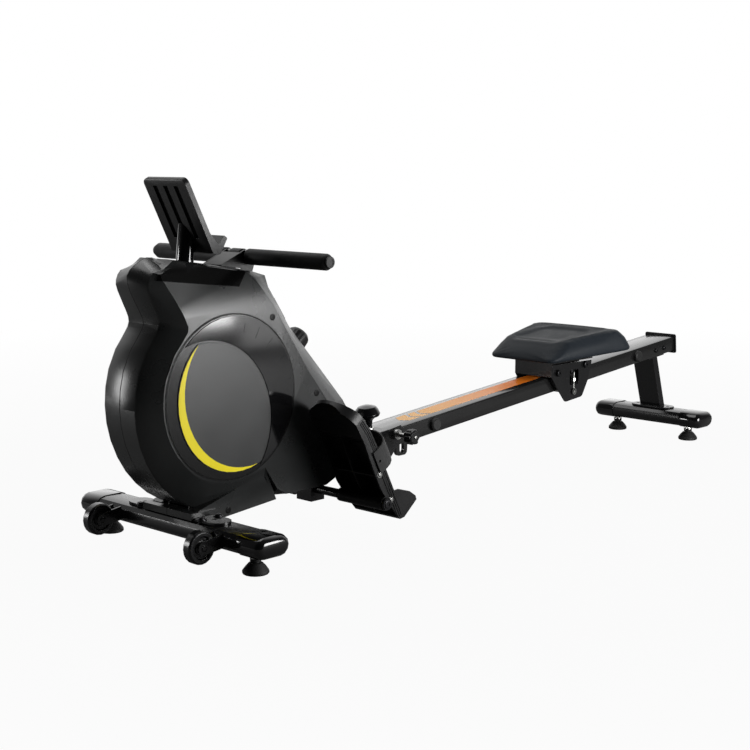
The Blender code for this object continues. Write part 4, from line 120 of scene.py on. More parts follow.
world = bpy.data.worlds.new("studio")
scene.world = world
world.use_nodes = True
sky_nodes, sky_links = world.node_tree.nodes, world.node_tree.links
sky = sky_nodes["Background"]
sky.inputs["Color"].default_value = (1.0, 1.0, 1.0, 1.0)
direction = sky_nodes.new("ShaderNodeTexCoord")
room_light = None
for towards, low, high, before, after in ROOM_LOBES:
    facing = reckoned(sky_nodes, "DOT_PRODUCT", "ShaderNodeVectorMath")
    facing.inputs[1].default_value = towards
    sky_links.new(direction.outputs["Generated"], facing.inputs[0])
    lobe = ranged(sky_nodes, low, high, before, after)
    lobe.interpolation_type = "SMOOTHSTEP"
    sky_links.new(facing.outputs["Value"], lobe.inputs["Value"])
    if room_light:
        both = reckoned(sky_nodes, "MULTIPLY")
        sky_links.new(room_light, both.inputs[0])
        sky_links.new(lobe.outputs["Result"], both.inputs[1])
        room_light = both.outputs["Value"]
    else:
        room_light = lobe.outputs["Result"]
seen = sky_nodes.new("ShaderNodeLightPath")
backdrop = sky_nodes.new("ShaderNodeMix")
backdrop.inputs["B"].default_value = 1.0
sky_links.new(seen.outputs["Is Camera Ray"], backdrop.inputs["Factor"])
sky_links.new(room_light, backdrop.inputs["A"])
sky_links.new(backdrop.outputs["Result"], sky.inputs["Strength"])

for label, place, aim, wide, high, power in LAMPS:
    glow = bpy.data.lights.new(label, "AREA")
    glow.shape = "RECTANGLE"
    glow.size = wide
    glow.size_y = high
    glow.energy = power
    lamp = bpy.data.objects.new(label, glow)
    lamp.location = place
    lamp.rotation_euler = (Vector(aim) - Vector(place)).to_track_quat("-Z", "Y").to_euler()
    lamp.visible_camera = False
    scene.collection.objects.link(lamp)

# The floor is grey in itself, so that black parts don't mirror a white one, and shows white to
# the camera alone, all the way from some metres off.
ground = bmesh.new()
bmesh.ops.create_grid(ground, x_segments=1, y_segments=1, size=FLOOR_HALF)
floor_mesh = bpy.data.meshes.new("floor")
ground.to_mesh(floor_mesh)
ground.free()
floor = bpy.data.objects.new("floor", floor_mesh)
scene.collection.objects.link(floor)
paper = bpy.data.materials.new("floor_paper")
paper.use_nodes = True
paper_nodes, paper_links = paper.node_tree.nodes, paper.node_tree.links
paper_shader = paper_nodes["Principled BSDF"]
paper_shader.inputs["Base Color"].default_value = (FLOOR_GREY, FLOOR_GREY, FLOOR_GREY, 1.0)
paper_shader.inputs["Roughness"].default_value = FLOOR_ROUGHNESS
paper_glow = paper_nodes.new("ShaderNodeEmission")
paper_seen = paper_nodes.new("ShaderNodeLightPath")
paper_place = paper_nodes.new("ShaderNodeTexCoord")
paper_reach = reckoned(paper_nodes, "LENGTH", "ShaderNodeVectorMath")
paper_fade = ranged(paper_nodes, FADE_NEAR, FADE_FAR, WHITE_NEAR, WHITE_FAR)
paper_share = reckoned(paper_nodes, "MULTIPLY")
paper_mix = paper_nodes.new("ShaderNodeMixShader")
paper_links.new(paper_place.outputs["Object"], paper_reach.inputs[0])
paper_links.new(paper_reach.outputs["Value"], paper_fade.inputs["Value"])
paper_links.new(paper_seen.outputs["Is Camera Ray"], paper_share.inputs[0])
paper_links.new(paper_fade.outputs["Result"], paper_share.inputs[1])
paper_links.new(paper_share.outputs["Value"], paper_mix.inputs["Fac"])
paper_links.new(paper_shader.outputs["BSDF"], paper_mix.inputs[1])
paper_links.new(paper_glow.outputs["Emission"], paper_mix.inputs[2])
paper_links.new(paper_mix.outputs["Shader"], paper_nodes["Material Output"].inputs["Surface"])
floor_mesh.materials.append(paper)


# Welded steel: beams, hollow frame, rear leg, rail and carriage, powder coated in black.
# The coat is smooth with a faint orange peel, and every cut edge is slightly rounded. Black zinc
# bolts hold the frame to its front beam and the rear leg to the rail.
MERGE_GAP = 0.00001
FLAT_ANGLE = 0.6
MIX_FIRST, MIX_SECOND, MIX_COLOUR = 6, 7, 2
MILLIMETRES_PER_METRE = 1000.0
SPECK_SHARE = (0.62, 0.74)
PATCH_SHARE = (0.25, 0.75)
SADDLE_BOLTS_X = (-0.762, -0.723)
SADDLE_BOLTS_Y = 0.088
LEG_BOLTS = ((0.775, 0.2285), (0.812, 0.2320))


def surface_group():
    """Fine grain for bump and slow patches for colour and gloss, at sizes set in millimetres."""
    group = bpy.data.node_groups.new("surface_grain", "ShaderNodeTree")
    for label, kind in (("Position", "NodeSocketVector"), ("Grain Size", "NodeSocketFloat"),
                        ("Patch Size", "NodeSocketFloat")):
        group.interface.new_socket(label, in_out="INPUT", socket_type=kind)
    for label in ("Grain", "Patch", "Speck"):
        group.interface.new_socket(label, in_out="OUTPUT", socket_type="NodeSocketFloat")
    nodes, links = group.nodes, group.links
    source, sink = nodes.new("NodeGroupInput"), nodes.new("NodeGroupOutput")
    for label, size, detail in (("Grain", "Grain Size", 3.0), ("Patch", "Patch Size", 5.0)):
        per_metre = reckoned(nodes, "DIVIDE")
        per_metre.inputs[0].default_value = MILLIMETRES_PER_METRE
        noise = nodes.new("ShaderNodeTexNoise")
        noise.inputs["Detail"].default_value = detail
        links.new(source.outputs[size], per_metre.inputs[1])
        links.new(per_metre.outputs["Value"], noise.inputs["Scale"])
        links.new(source.outputs["Position"], noise.inputs["Vector"])
        links.new(noise.outputs["Fac"], sink.inputs[label])
        if label == "Grain":
            speck = ranged(nodes, *SPECK_SHARE)
            links.new(noise.outputs["Fac"], speck.inputs["Value"])
            links.new(speck.outputs["Result"], sink.inputs["Speck"])
    return group


surface_grain = surface_group()


def two_tone(nodes, first=None, second=None):
    """A mix of two colours; an end that isn't given here is linked afterwards."""
    made = nodes.new("ShaderNodeMix")
    made.data_type = "RGBA"
    for socket, colour in ((MIX_FIRST, first), (MIX_SECOND, second)):
        if colour:
            made.inputs[socket].default_value = (*colour, 1.0)
    return made


def finish_of(name, colour, rough, grain=0.8, depth=0.00002, vary=0.12, patch=60.0, metallic=0.0,
              coat=0.0, coat_rough=0.1, sheen=0.0, speck=0.0, shine=0.5):
    """A material whose colour, gloss and bump change over the surface as the real finish does."""
    made = bpy.data.materials.new(name)
    made.use_nodes = True
    nodes, links = made.node_tree.nodes, made.node_tree.links
    shader = nodes["Principled BSDF"]
    shader.inputs["Metallic"].default_value = metallic
    shader.inputs["Coat Weight"].default_value = coat
    shader.inputs["Coat Roughness"].default_value = coat_rough
    shader.inputs["Sheen Weight"].default_value = sheen
    shader.inputs["Specular IOR Level"].default_value = shine
    place = nodes.new("ShaderNodeTexCoord")
    texture = nodes.new("ShaderNodeGroup")
    texture.node_tree = surface_grain
    texture.inputs["Grain Size"].default_value = grain
    texture.inputs["Patch Size"].default_value = patch
    links.new(place.outputs["Object"], texture.inputs["Position"])
    tint = two_tone(nodes, [c * (1 - vary) for c in colour], [c * (1 + vary) for c in colour])
    links.new(texture.outputs["Patch"], tint.inputs["Factor"])
    flecked = two_tone(nodes, second=[min(1.0, c * 2.2 + 0.01) for c in colour])
    flecked.name = "flecked"
    amount = reckoned(nodes, "MULTIPLY")
    amount.inputs[1].default_value = speck
    links.new(texture.outputs["Speck"], amount.inputs[0])
    links.new(amount.outputs["Value"], flecked.inputs["Factor"])
    links.new(tint.outputs[MIX_COLOUR], flecked.inputs[MIX_FIRST])
    links.new(flecked.outputs[MIX_COLOUR], shader.inputs["Base Color"])
    gloss = ranged(nodes, *PATCH_SHARE, rough * 0.88, min(1.0, rough * 1.14))
    gloss.name = "gloss"
    links.new(texture.outputs["Patch"], gloss.inputs["Value"])
    links.new(gloss.outputs["Result"], shader.inputs["Roughness"])
    bump = nodes.new("ShaderNodeBump")
    bump.name = "bump"
    bump.inputs["Strength"].default_value = 1.0
    bump.inputs["Distance"].default_value = depth
    links.new(texture.outputs["Grain"], bump.inputs["Height"])
    links.new(bump.outputs["Normal"], shader.inputs["Normal"])
    return made


def shaded(mesh, crease):
    """Smooth faces, with a crease wherever two of them meet at this angle or more."""
    for face in mesh.faces:
        face.smooth = True
    for edge in mesh.edges:
        edge.smooth = edge.is_manifold and edge.calc_face_angle(0.0) < math.radians(crease)


def dressed(node, body, finish, crease=30, rounded=0.0006, steps=2):
    """The node's own solid, merged and smoothly shaded, with its sharp edges slightly rounded."""
    shape = frame["nodes"][node].data.copy()
    made = bpy.data.objects.new("fine_" + node, shape)
    scene.collection.objects.link(made)
    mesh = bmesh.new()
    mesh.from_mesh(shape)
    bmesh.ops.remove_doubles(mesh, verts=mesh.verts, dist=MERGE_GAP)
    bmesh.ops.dissolve_limit(mesh, angle_limit=math.radians(FLAT_ANGLE), verts=mesh.verts,
                             edges=mesh.edges)
    shaded(mesh, crease)
    mesh.to_mesh(shape)
    mesh.free()
    shape.materials.clear()
    shape.materials.append(finish)
    if rounded:
        edges = made.modifiers.new("rounded", "BEVEL")
        edges.width = rounded
        edges.segments = steps
        edges.limit_method = "ANGLE"
        edges.angle_limit = math.radians(crease)
        edges.harden_normals = True
    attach(made, body)
    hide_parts(node)
    return made


def skin_of(node):
    """The surface of a node's own solid, ready for rays."""
    shape = frame["nodes"][node].data
    return BVHTree.FromPolygons([point.co for point in shape.vertices],
                                [face.vertices for face in shape.polygons])


def land(node, start, way):
    """Where a line from `start` along `way` meets the node, and which way its surface faces."""
    return skin_of(node).ray_cast(Vector(start), Vector(way).normalized())[:2]


def stood(part, mesh, spot, facing):
    """Adds a part made at the origin to a group, standing on `spot` and pointing outwards."""
    turn = Vector(facing).to_track_quat("Z", "Y").to_matrix().to_4x4()
    bmesh.ops.transform(part, matrix=Matrix.Translation(spot) @ turn, verts=part.verts)
    carried = bpy.data.meshes.new("carried")
    part.to_mesh(carried)
    mesh.from_mesh(carried)
    bpy.data.meshes.remove(carried)
    part.free()


def fastener(mesh, spot, facing, radius, height, sides=24, socket=0.5, washer=0.0):
    """A bolt head or nut, sunk by its height, with a rounded rim, a driving socket as wide as
    `socket` times the head where that isn't 0, and a washer of the radius given."""
    part = bmesh.new()
    if washer:
        plate = bmesh.ops.create_cone(part, cap_ends=True, segments=28, radius1=washer,
                                      radius2=washer * 0.96, depth=height * 0.5)
        bmesh.ops.translate(part, vec=(0.0, 0.0, height * 0.1), verts=plate["verts"])
    head = bmesh.ops.create_cone(part, cap_ends=True, segments=sides, radius1=radius,
                                 radius2=radius, depth=height * 2.0)
    top = max((face for point in head["verts"] for face in point.link_faces),
              key=lambda face: face.calc_center_median().z)
    bmesh.ops.bevel(part, geom=list(top.edges), offset=height * 0.45, segments=3, profile=0.5,
                    affect="EDGES", material=-1)
    if socket:
        top = max(part.faces, key=lambda face: face.calc_center_median().z)
        bmesh.ops.inset_region(part, faces=[top], thickness=radius * (0.9 - socket))
        top = max(part.faces, key=lambda face: (face.calc_center_median().z, face.calc_area()))
        bmesh.ops.inset_region(part, faces=[top], thickness=radius * 0.02, depth=-height * 0.55)
    stood(part, mesh, spot, facing)


def added(mesh, name, finish):
    """A new piece of the scene from a finished bmesh."""
    shape = bpy.data.meshes.new(name)
    mesh.to_mesh(shape)
    mesh.free()
    shape.materials.append(finish)
    made = bpy.data.objects.new(name, shape)
    scene.collection.objects.link(made)
    return made


def settled(mesh, name, finish, body, crease=35):
    """A finished group of parts: smooth between its creases, riding on its body."""
    shaded(mesh, crease)
    made = added(mesh, name, finish)
    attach(made, body)
    return made


powder_coat = finish_of("powder_coat_black", (0.006, 0.006, 0.0065), 0.24, 0.9, 0.00002, 0.2, 80,
                        coat=0.25, coat_rough=0.08)
rail_paint = finish_of("rail_paint", (0.010, 0.010, 0.010), 0.20, 0.8, 0.00001, 0.2, 120,
                       coat=0.6, coat_rough=0.14)
black_zinc = finish_of("black_zinc", (0.03, 0.03, 0.032), 0.30, 0.4, 0.00002, 0.2, 8,
                       metallic=0.8)
for node, body in (("front_stabilizer", "frame"), ("main_frame", "frame"),
                   ("rear_upright", "rail_body"), ("rear_stabilizer", "rail_body"),
                   ("carriage", "seat")):
    dressed(node, body, powder_coat)
dressed("rail", "rail_body", rail_paint, rounded=0.0012, steps=3)

saddle_bolts = bmesh.new()
for side in (-1, 1):
    for along in SADDLE_BOLTS_X:
        spot, facing = land("main_frame", (along, side * SADDLE_BOLTS_Y, 0.2), (0.0, 0.0, -1.0))
        fastener(saddle_bolts, spot, facing, 0.0065, 0.0045, washer=0.0095)
settled(saddle_bolts, "saddle_bolts", black_zinc, "frame")

leg_bolts = bmesh.new()
for side in (-1, 1):
    for along, up in LEG_BOLTS:
        spot, facing = land("rail", (along, side * 0.4, up), (0.0, -side, 0.0))
        fastener(leg_bolts, spot, facing, 0.0060, 0.0040)
settled(leg_bolts, "rear_leg_bolts", black_zinc, "rail_body")


# Printed band on top of the rail: a thin orange film whose front end is cut into two chevrons, with
# a painted highlight that makes it paler towards the front. It is laid on the tube's sloping top.
RAIL_SLOPE = 0.0915
RAIL_TOP_AT_ORIGIN = 0.17894
FILM_HALF = 0.0205
FILM_LIFT = 0.0003
FILM_THICKNESS = 0.00015
# Painted highlight: the film is this pale tone at the front up to FILM_GLARE_END and full orange
# from FILM_FULL_START.
FILM_GLARE_TONE = (0.95, 0.50, 0.13)
FILM_GLARE_END, FILM_FULL_START = -0.10, 0.26
CHEVRON_LEAN = 0.55
FILM_STRIPES = ((-0.1475, -0.1170), (-0.1095, -0.0880), (-0.0800, 0.4000))

film_print = finish_of("orange_film", (0.90, 0.21, 0.006), 0.36, 0.5, 0.000004, 0.06, 40,
                       shine=0.25)
film_nodes, film_links = film_print.node_tree.nodes, film_print.node_tree.links
film_place = film_nodes.new("ShaderNodeTexCoord")
film_axes = film_nodes.new("ShaderNodeSeparateXYZ")
# Painted highlight: blends the orange towards the pale tone along the film's length.
film_glare_fade = ranged(film_nodes, FILM_GLARE_END, FILM_FULL_START)
film_glare_blend = two_tone(film_nodes, first=FILM_GLARE_TONE)
film_links.new(film_place.outputs["Object"], film_axes.inputs["Vector"])
film_links.new(film_axes.outputs["X"], film_glare_fade.inputs["Value"])
film_links.new(film_glare_fade.outputs["Result"], film_glare_blend.inputs["Factor"])
film_links.new(film_nodes["flecked"].outputs[MIX_COLOUR], film_glare_blend.inputs[MIX_SECOND])
film_links.new(film_glare_blend.outputs[MIX_COLOUR], film_nodes["Principled BSDF"].inputs["Base Color"])

film = bmesh.new()
for start, stop in FILM_STRIPES:
    corners = []
    for across in (-FILM_HALF, 0.0, FILM_HALF):
        lean = CHEVRON_LEAN * abs(across)
        # Only the long stripe, which runs past the origin, ends square.
        for along in (start + lean, stop + (lean if stop < 0.0 else 0.0)):
            height = RAIL_TOP_AT_ORIGIN + RAIL_SLOPE * along + FILM_LIFT
            corners.append(film.verts.new((along, across, height)))
    film.faces.new((corners[0], corners[1], corners[3], corners[2]))
    film.faces.new((corners[2], corners[3], corners[5], corners[4]))
bmesh.ops.recalc_face_normals(film, faces=film.faces)
bmesh.ops.solidify(film, geom=film.faces[:], thickness=FILM_THICKNESS)
rail_film = added(film, "rail_film", film_print)
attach(rail_film, "rail_body")


# Beam ends, feet and wheels: glossy caps over the beam ends, rubber feet on zinc studs with a
# nut under the beam, and two hard wheels with stepped faces, each on a bolt with a head and a nut.
HANDS = (("left", -1), ("right", 1))
FOOT_NUTS = (("front", -0.7425, 0.209), ("rear", 0.8305, 0.107))
FOOT_NUT_HEIGHT = 0.0290
WHEEL_PLACE = Vector((-0.8165, 0.146, 0.0495))
WHEEL_WEB_HEIGHT = 0.060

gloss_black = finish_of("gloss_black", (0.004, 0.004, 0.0045), 0.08, 1.4, 0.00001, 0.2, 60,
                        coat=0.5, coat_rough=0.06)
rubber = finish_of("black_rubber", (0.006, 0.006, 0.006), 0.60, 0.5, 0.00006, 0.25, 20, speck=0.3)
tyre = finish_of("wheel_plastic", (0.006, 0.006, 0.0065), 0.28, 0.6, 0.00003, 0.2, 20, coat=0.3)
bright_zinc = finish_of("bright_zinc", (0.62, 0.62, 0.60), 0.24, 0.5, 0.00002, 0.10, 12,
                        metallic=1.0)
for hand, side in HANDS:
    dressed("front_cap_" + hand, "frame", gloss_black, 40)
    dressed("rear_cap_" + hand, "rail_body", gloss_black, 40)
    dressed("front_foot_" + hand, "front_foot_" + hand, rubber, 34)
    dressed("rear_foot_" + hand, "rear_foot_" + hand, rubber, 34)
    dressed("transport_wheel_" + hand, "wheel_" + hand, tyre, 34)
for end, along, across in FOOT_NUTS:
    for hand, side in HANDS:
        nut = bmesh.new()
        fastener(nut, (along, side * across, FOOT_NUT_HEIGHT), (0.0, 0.0, 1.0), 0.0085, 0.0055, 6,
                 0.0, 0.0105)
        settled(nut, end + "_foot_nut_" + hand, bright_zinc, end + "_foot_" + hand, 25)
for hand, side in HANDS:
    wheel_bolt = bmesh.new()
    for outward in (-1, 1):
        start = (WHEEL_PLACE.x, side * WHEEL_PLACE.y + outward * 0.05, WHEEL_WEB_HEIGHT)
        spot, facing = land("transport_wheel_" + hand, start, (0.0, -outward, 0.0))
        fastener(wheel_bolt, (WHEEL_PLACE.x, spot.y - outward * 0.001, WHEEL_PLACE.z),
                 (0.0, outward, 0.0), 0.0062, 0.0045, 6, 0.0, 0.0090)
    settled(wheel_bolt, "wheel_bolt_" + hand, black_zinc, "wheel_" + hand, 25)


# Plated and turned hardware: the pivot bolt and the seat rollers in bright zinc, the iron
# flywheel, the footplates' crossbar in black with a capped bolt in each end, the carriage's black
# bolts, and in its two windows the setting rods of the lower roller, each with its nuts.
CROSSBAR_END = (-0.4095, 0.065)
CARRIAGE_BOLTS = ((0.33997, 0.21900), (0.44697, 0.22879))
CARRIAGE_HALF = 0.0566
WINDOW_X, WINDOW_Y = 0.4035, 0.0530
ROD_MIDDLE, ROD_NUT_HEIGHT = 0.1950, 0.1970
ROD_RADIUS, ROD_LENGTH = 0.0027, 0.040
LOWER_NUT = (0.4020, 0.1690)

zinc = finish_of("zinc_plate", (0.42, 0.42, 0.41), 0.30, 0.5, 0.00002, 0.10, 12, metallic=1.0)
iron = finish_of("turned_iron", (0.12, 0.12, 0.12), 0.42, 0.6, 0.00006, 0.2, 15, metallic=0.9)
dressed("pedal_crossbar", "frame", powder_coat)
for node, body in (("pivot_bolt", "frame"), ("flywheel_axle", "frame"), ("rewind_spring", "frame"),
                   ("magnet_bracket", "magnets"), ("roller_front", "roller_front"),
                   ("roller_rear", "roller_rear"), ("roller_lower", "roller_lower")):
    dressed(node, body, zinc)
dressed("flywheel", "flywheel", iron)

crossbar_bolts = bmesh.new()
carriage_bolts = bmesh.new()
setting_bolts = bmesh.new()
for side in (-1, 1):
    outward = (0.0, side, 0.0)
    spot, facing = land("pedal_crossbar", (CROSSBAR_END[0], side * 0.4, CROSSBAR_END[1]),
                        (0.0, -side, 0.0))
    fastener(crossbar_bolts, spot, facing, 0.0085, 0.0024, 28, 0.5, 0.0118)
    for along, up in CARRIAGE_BOLTS:
        fastener(carriage_bolts, (along, side * CARRIAGE_HALF, up), outward, 0.0082, 0.0036, 28,
                 0.45)
    rod = bmesh.new()
    bmesh.ops.create_cone(rod, cap_ends=True, segments=20, radius1=ROD_RADIUS,
                          radius2=ROD_RADIUS, depth=ROD_LENGTH)
    stood(rod, setting_bolts, (WINDOW_X, side * WINDOW_Y, ROD_MIDDLE), (0.0, 0.0, 1.0))
    fastener(setting_bolts, (WINDOW_X, side * WINDOW_Y, ROD_NUT_HEIGHT), (0.0, 0.0, 1.0), 0.0052,
             0.0042, 6, 0.0, 0.0062)
    fastener(setting_bolts, (LOWER_NUT[0], side * CARRIAGE_HALF, LOWER_NUT[1]), outward, 0.0056,
             0.0036, 6, 0.0, 0.0078)
settled(crossbar_bolts, "crossbar_bolts", black_zinc, "frame")
settled(carriage_bolts, "carriage_bolts", black_zinc, "seat")
settled(setting_bolts, "roller_setting_bolts", bright_zinc, "seat", 25)


# Housing: two moulded halves with a fine spark texture, screwed together, with a small open seam
# down the middle of the nose, darkened by a band of painted shade, and a polished strip at the side
# of the top cap. The halves carry thin black screws with a driving socket.
# Painted shade in the seam: near the middle plane the shell turns near black and matte, blending
# back to its own colour by SEAM_SHADE_END.
SEAM_SHADE_START, SEAM_SHADE_END = 0.0007, 0.0013
SEAM_SHADE_TONE, SEAM_SHADE_ROUGHNESS = (0.001, 0.001, 0.001), 0.95
POLISHED_TONE, POLISHED_ROUGHNESS = (0.003, 0.003, 0.003), 0.10
FLANK_START, FLANK_END = 0.0500, 0.0540
# The polished strip lies past both of these planes: a direction and a reach along it.
STRIP_PLANES = (((0.1149, 0.0, 1.0), 0.4112), ((-0.741, 0.0, 0.672), 0.8044))
STRIP_EDGE = 0.0004
HOUSING_SCREWS = ((-0.5745, 0.425), (-0.4625, 0.270), (-0.6805, 0.0775))

shell_plastic = finish_of("shell_plastic", (0.018, 0.019, 0.019), 0.28, 0.55, 0.00004, 0.14, 70)
shell_nodes, shell_links = shell_plastic.node_tree.nodes, shell_plastic.node_tree.links
shell_place = shell_nodes.new("ShaderNodeTexCoord")
shell_axes = shell_nodes.new("ShaderNodeSeparateXYZ")
off_middle = reckoned(shell_nodes, "ABSOLUTE")
# The seam's painted shade: a near-black band along the middle of the nose.
past_seam_shade = ranged(shell_nodes, SEAM_SHADE_START, SEAM_SHADE_END)
seam_shade_tone = two_tone(shell_nodes, first=SEAM_SHADE_TONE)
seam_shade_gloss = shell_nodes.new("ShaderNodeMix")
seam_shade_gloss.inputs["A"].default_value = SEAM_SHADE_ROUGHNESS
shell_links.new(shell_place.outputs["Object"], shell_axes.inputs["Vector"])
shell_links.new(shell_axes.outputs["Y"], off_middle.inputs[0])
shell_links.new(off_middle.outputs["Value"], past_seam_shade.inputs["Value"])
shell_links.new(past_seam_shade.outputs["Result"], seam_shade_tone.inputs["Factor"])
shell_links.new(shell_nodes["flecked"].outputs[MIX_COLOUR], seam_shade_tone.inputs[MIX_SECOND])
shell_links.new(past_seam_shade.outputs["Result"], seam_shade_gloss.inputs["Factor"])
shell_links.new(shell_nodes["gloss"].outputs["Result"], seam_shade_gloss.inputs["B"])

on_flank = ranged(shell_nodes, FLANK_START, FLANK_END)
shell_links.new(off_middle.outputs["Value"], on_flank.inputs["Value"])
on_strip = on_flank.outputs["Result"]
for way, level in STRIP_PLANES:
    reach = reckoned(shell_nodes, "DOT_PRODUCT", "ShaderNodeVectorMath")
    reach.inputs[1].default_value = way
    past_plane = ranged(shell_nodes, level - STRIP_EDGE, level + STRIP_EDGE)
    inside = reckoned(shell_nodes, "MULTIPLY")
    shell_links.new(shell_place.outputs["Object"], reach.inputs[0])
    shell_links.new(reach.outputs["Value"], past_plane.inputs["Value"])
    shell_links.new(past_plane.outputs["Result"], inside.inputs[0])
    shell_links.new(on_strip, inside.inputs[1])
    on_strip = inside.outputs["Value"]
strip_tone = two_tone(shell_nodes, second=POLISHED_TONE)
strip_gloss = shell_nodes.new("ShaderNodeMix")
strip_gloss.inputs["B"].default_value = POLISHED_ROUGHNESS
shell_shader = shell_nodes["Principled BSDF"]
shell_links.new(on_strip, strip_tone.inputs["Factor"])
shell_links.new(on_strip, strip_gloss.inputs["Factor"])
shell_links.new(seam_shade_tone.outputs[MIX_COLOUR], strip_tone.inputs[MIX_FIRST])
shell_links.new(seam_shade_gloss.outputs["Result"], strip_gloss.inputs["A"])
shell_links.new(strip_tone.outputs[MIX_COLOUR], shell_shader.inputs["Base Color"])
shell_links.new(strip_gloss.outputs["Result"], shell_shader.inputs["Roughness"])

screw_black = finish_of("screw_black", (0.002, 0.002, 0.002), 0.35, 0.4, 0.00002, 0.2, 8,
                        shine=0.15)
housing_screws = bmesh.new()
for hand, side in HANDS:
    for along, up in HOUSING_SCREWS:
        spot, facing = land("housing_" + hand, (along, side * 0.5, up), (0.0, -side, 0.0))
        fastener(housing_screws, spot, facing, 0.0062, 0.0010, 28, 0.55)
    dressed("housing_" + hand, "frame", shell_plastic, 28, 0.0009)
settled(housing_screws, "housing_screws", screw_black, "frame")


# Round side covers: a glossy black dish snapped into each half, with a thin black ring round it
# that is painted shade for the gap, a raised satin disc in it, the piano black crescent beside that
# with its printed ticks, and the painted yellow crescent.
DISC_MIDDLE = (-0.6644, 0.2871)
DISC_RADIUS = 0.1385
DISC_EDGE = 0.0006
DISH_TONE, DISH_ROUGHNESS = (0.003, 0.003, 0.003), 0.13
# The gap round the dish is painted shade: a flat black ring of these sizes, lifted just off the
# shell.
GAP_MIDDLE = Vector((-0.6748, 0.0768, 0.2874))
GAP_RADIUS = 0.1508
GAP_SPREAD = 1.0119
GAP_THICKNESS = 0.0006

disc_plastic = finish_of("disc_plastic", (0.015, 0.016, 0.016), 0.32, 0.45, 0.00004, 0.12, 70)
disc_nodes, disc_links = disc_plastic.node_tree.nodes, disc_plastic.node_tree.links
disc_place = disc_nodes.new("ShaderNodeTexCoord")
disc_centred = disc_nodes.new("ShaderNodeMapping")
disc_centred.inputs["Location"].default_value = (-DISC_MIDDLE[0], 0.0, -DISC_MIDDLE[1])
disc_flat = reckoned(disc_nodes, "MULTIPLY", "ShaderNodeVectorMath")
disc_flat.inputs[1].default_value = (1.0, 0.0, 1.0)
disc_reach = reckoned(disc_nodes, "LENGTH", "ShaderNodeVectorMath")
in_dish = ranged(disc_nodes, DISC_RADIUS - DISC_EDGE, DISC_RADIUS + DISC_EDGE)
dish_gloss = disc_nodes.new("ShaderNodeMix")
dish_gloss.inputs["B"].default_value = DISH_ROUGHNESS
dish_tone = two_tone(disc_nodes, second=DISH_TONE)
disc_shader = disc_nodes["Principled BSDF"]
disc_links.new(disc_place.outputs["Object"], disc_centred.inputs["Vector"])
disc_links.new(disc_centred.outputs["Vector"], disc_flat.inputs[0])
disc_links.new(disc_flat.outputs["Vector"], disc_reach.inputs[0])
disc_links.new(disc_reach.outputs["Value"], in_dish.inputs["Value"])
disc_links.new(in_dish.outputs["Result"], dish_gloss.inputs["Factor"])
disc_links.new(disc_nodes["gloss"].outputs["Result"], dish_gloss.inputs["A"])
disc_links.new(dish_gloss.outputs["Result"], disc_shader.inputs["Roughness"])
disc_links.new(in_dish.outputs["Result"], dish_tone.inputs["Factor"])
disc_links.new(disc_nodes["flecked"].outputs[MIX_COLOUR], dish_tone.inputs[MIX_FIRST])
disc_links.new(dish_tone.outputs[MIX_COLOUR], disc_shader.inputs["Base Color"])
yellow = finish_of("yellow_paint", (0.96, 0.80, 0.004), 0.34, 0.6, 0.00001, 0.06, 30, shine=0.3)
for hand, side in HANDS:
    # A thin matte black ribbon, as painted shade where the dish meets the shell.
    shade_ring = bmesh.new()
    bmesh.ops.create_circle(shade_ring, cap_ends=False, segments=128, radius=GAP_RADIUS)
    outward = bmesh.ops.extrude_edge_only(shade_ring, edges=shade_ring.edges[:])
    wide = [item for item in outward["geom"] if isinstance(item, bmesh.types.BMVert)]
    bmesh.ops.scale(shade_ring, vec=(GAP_SPREAD, GAP_SPREAD, 1.0), verts=wide)
    bmesh.ops.recalc_face_normals(shade_ring, faces=shade_ring.faces)
    bmesh.ops.solidify(shade_ring, geom=shade_ring.faces[:], thickness=GAP_THICKNESS)
    placed_shade_ring = bmesh.new()
    stood(shade_ring, placed_shade_ring, (GAP_MIDDLE.x, side * GAP_MIDDLE.y, GAP_MIDDLE.z),
          (0.0, side, 0.0))
    bmesh.ops.recalc_face_normals(placed_shade_ring, faces=placed_shade_ring.faces)
    settled(placed_shade_ring, "painted_gap_shade_" + hand, screw_black, "frame")
    dressed("disc_cover_" + hand, "frame", disc_plastic, 20, 0.0004)
    dressed("ring_trim_" + hand, "frame", gloss_black, 20, 0.0003)
    dressed("accent_" + hand, "frame", yellow, 20, 0.0001)


# Top of the head: the glossy cap strip, the column that carries the tablet holder and the small
# console's case on the rear slope.
for node in ("top_cap", "holder_column", "console"):
    dressed(node, "frame", gloss_black, 30)


# Small mouldings in black nylon: the drive's wheel and reel inside, the hood that guides the
# strap, the tablet holder, the knobs, the rail's end cap and the base of the seat. With them go
# the rubber belt and bumpers, the polished pull knob and the console's yellow button.
nylon = finish_of("black_nylon", (0.007, 0.007, 0.0075), 0.38, 0.5, 0.00004, 0.18, 40,
                  shine=0.35)
for node, body in (("drive_wheel", "drive_wheel"), ("strap_reel", "reel"),
                   ("strap_hood", "frame"), ("guide_roller", "guide_roller"),
                   ("tablet_holder", "frame"), ("tension_dial_base", "frame"),
                   ("tension_knob", "tension_knob"), ("hand_knob", "hand_knob"),
                   ("rail_end_cap", "rail_body"), ("seat_base", "seat")):
    dressed(node, body, nylon)
dressed("lock_knob", "lock_knob", gloss_black, 34)
dressed("console_button", "console_button", yellow)
dressed("drive_belt", "frame", rubber)
for end in ("front", "rear"):
    dressed("rail_bumper_" + end, "rail_body", rubber)


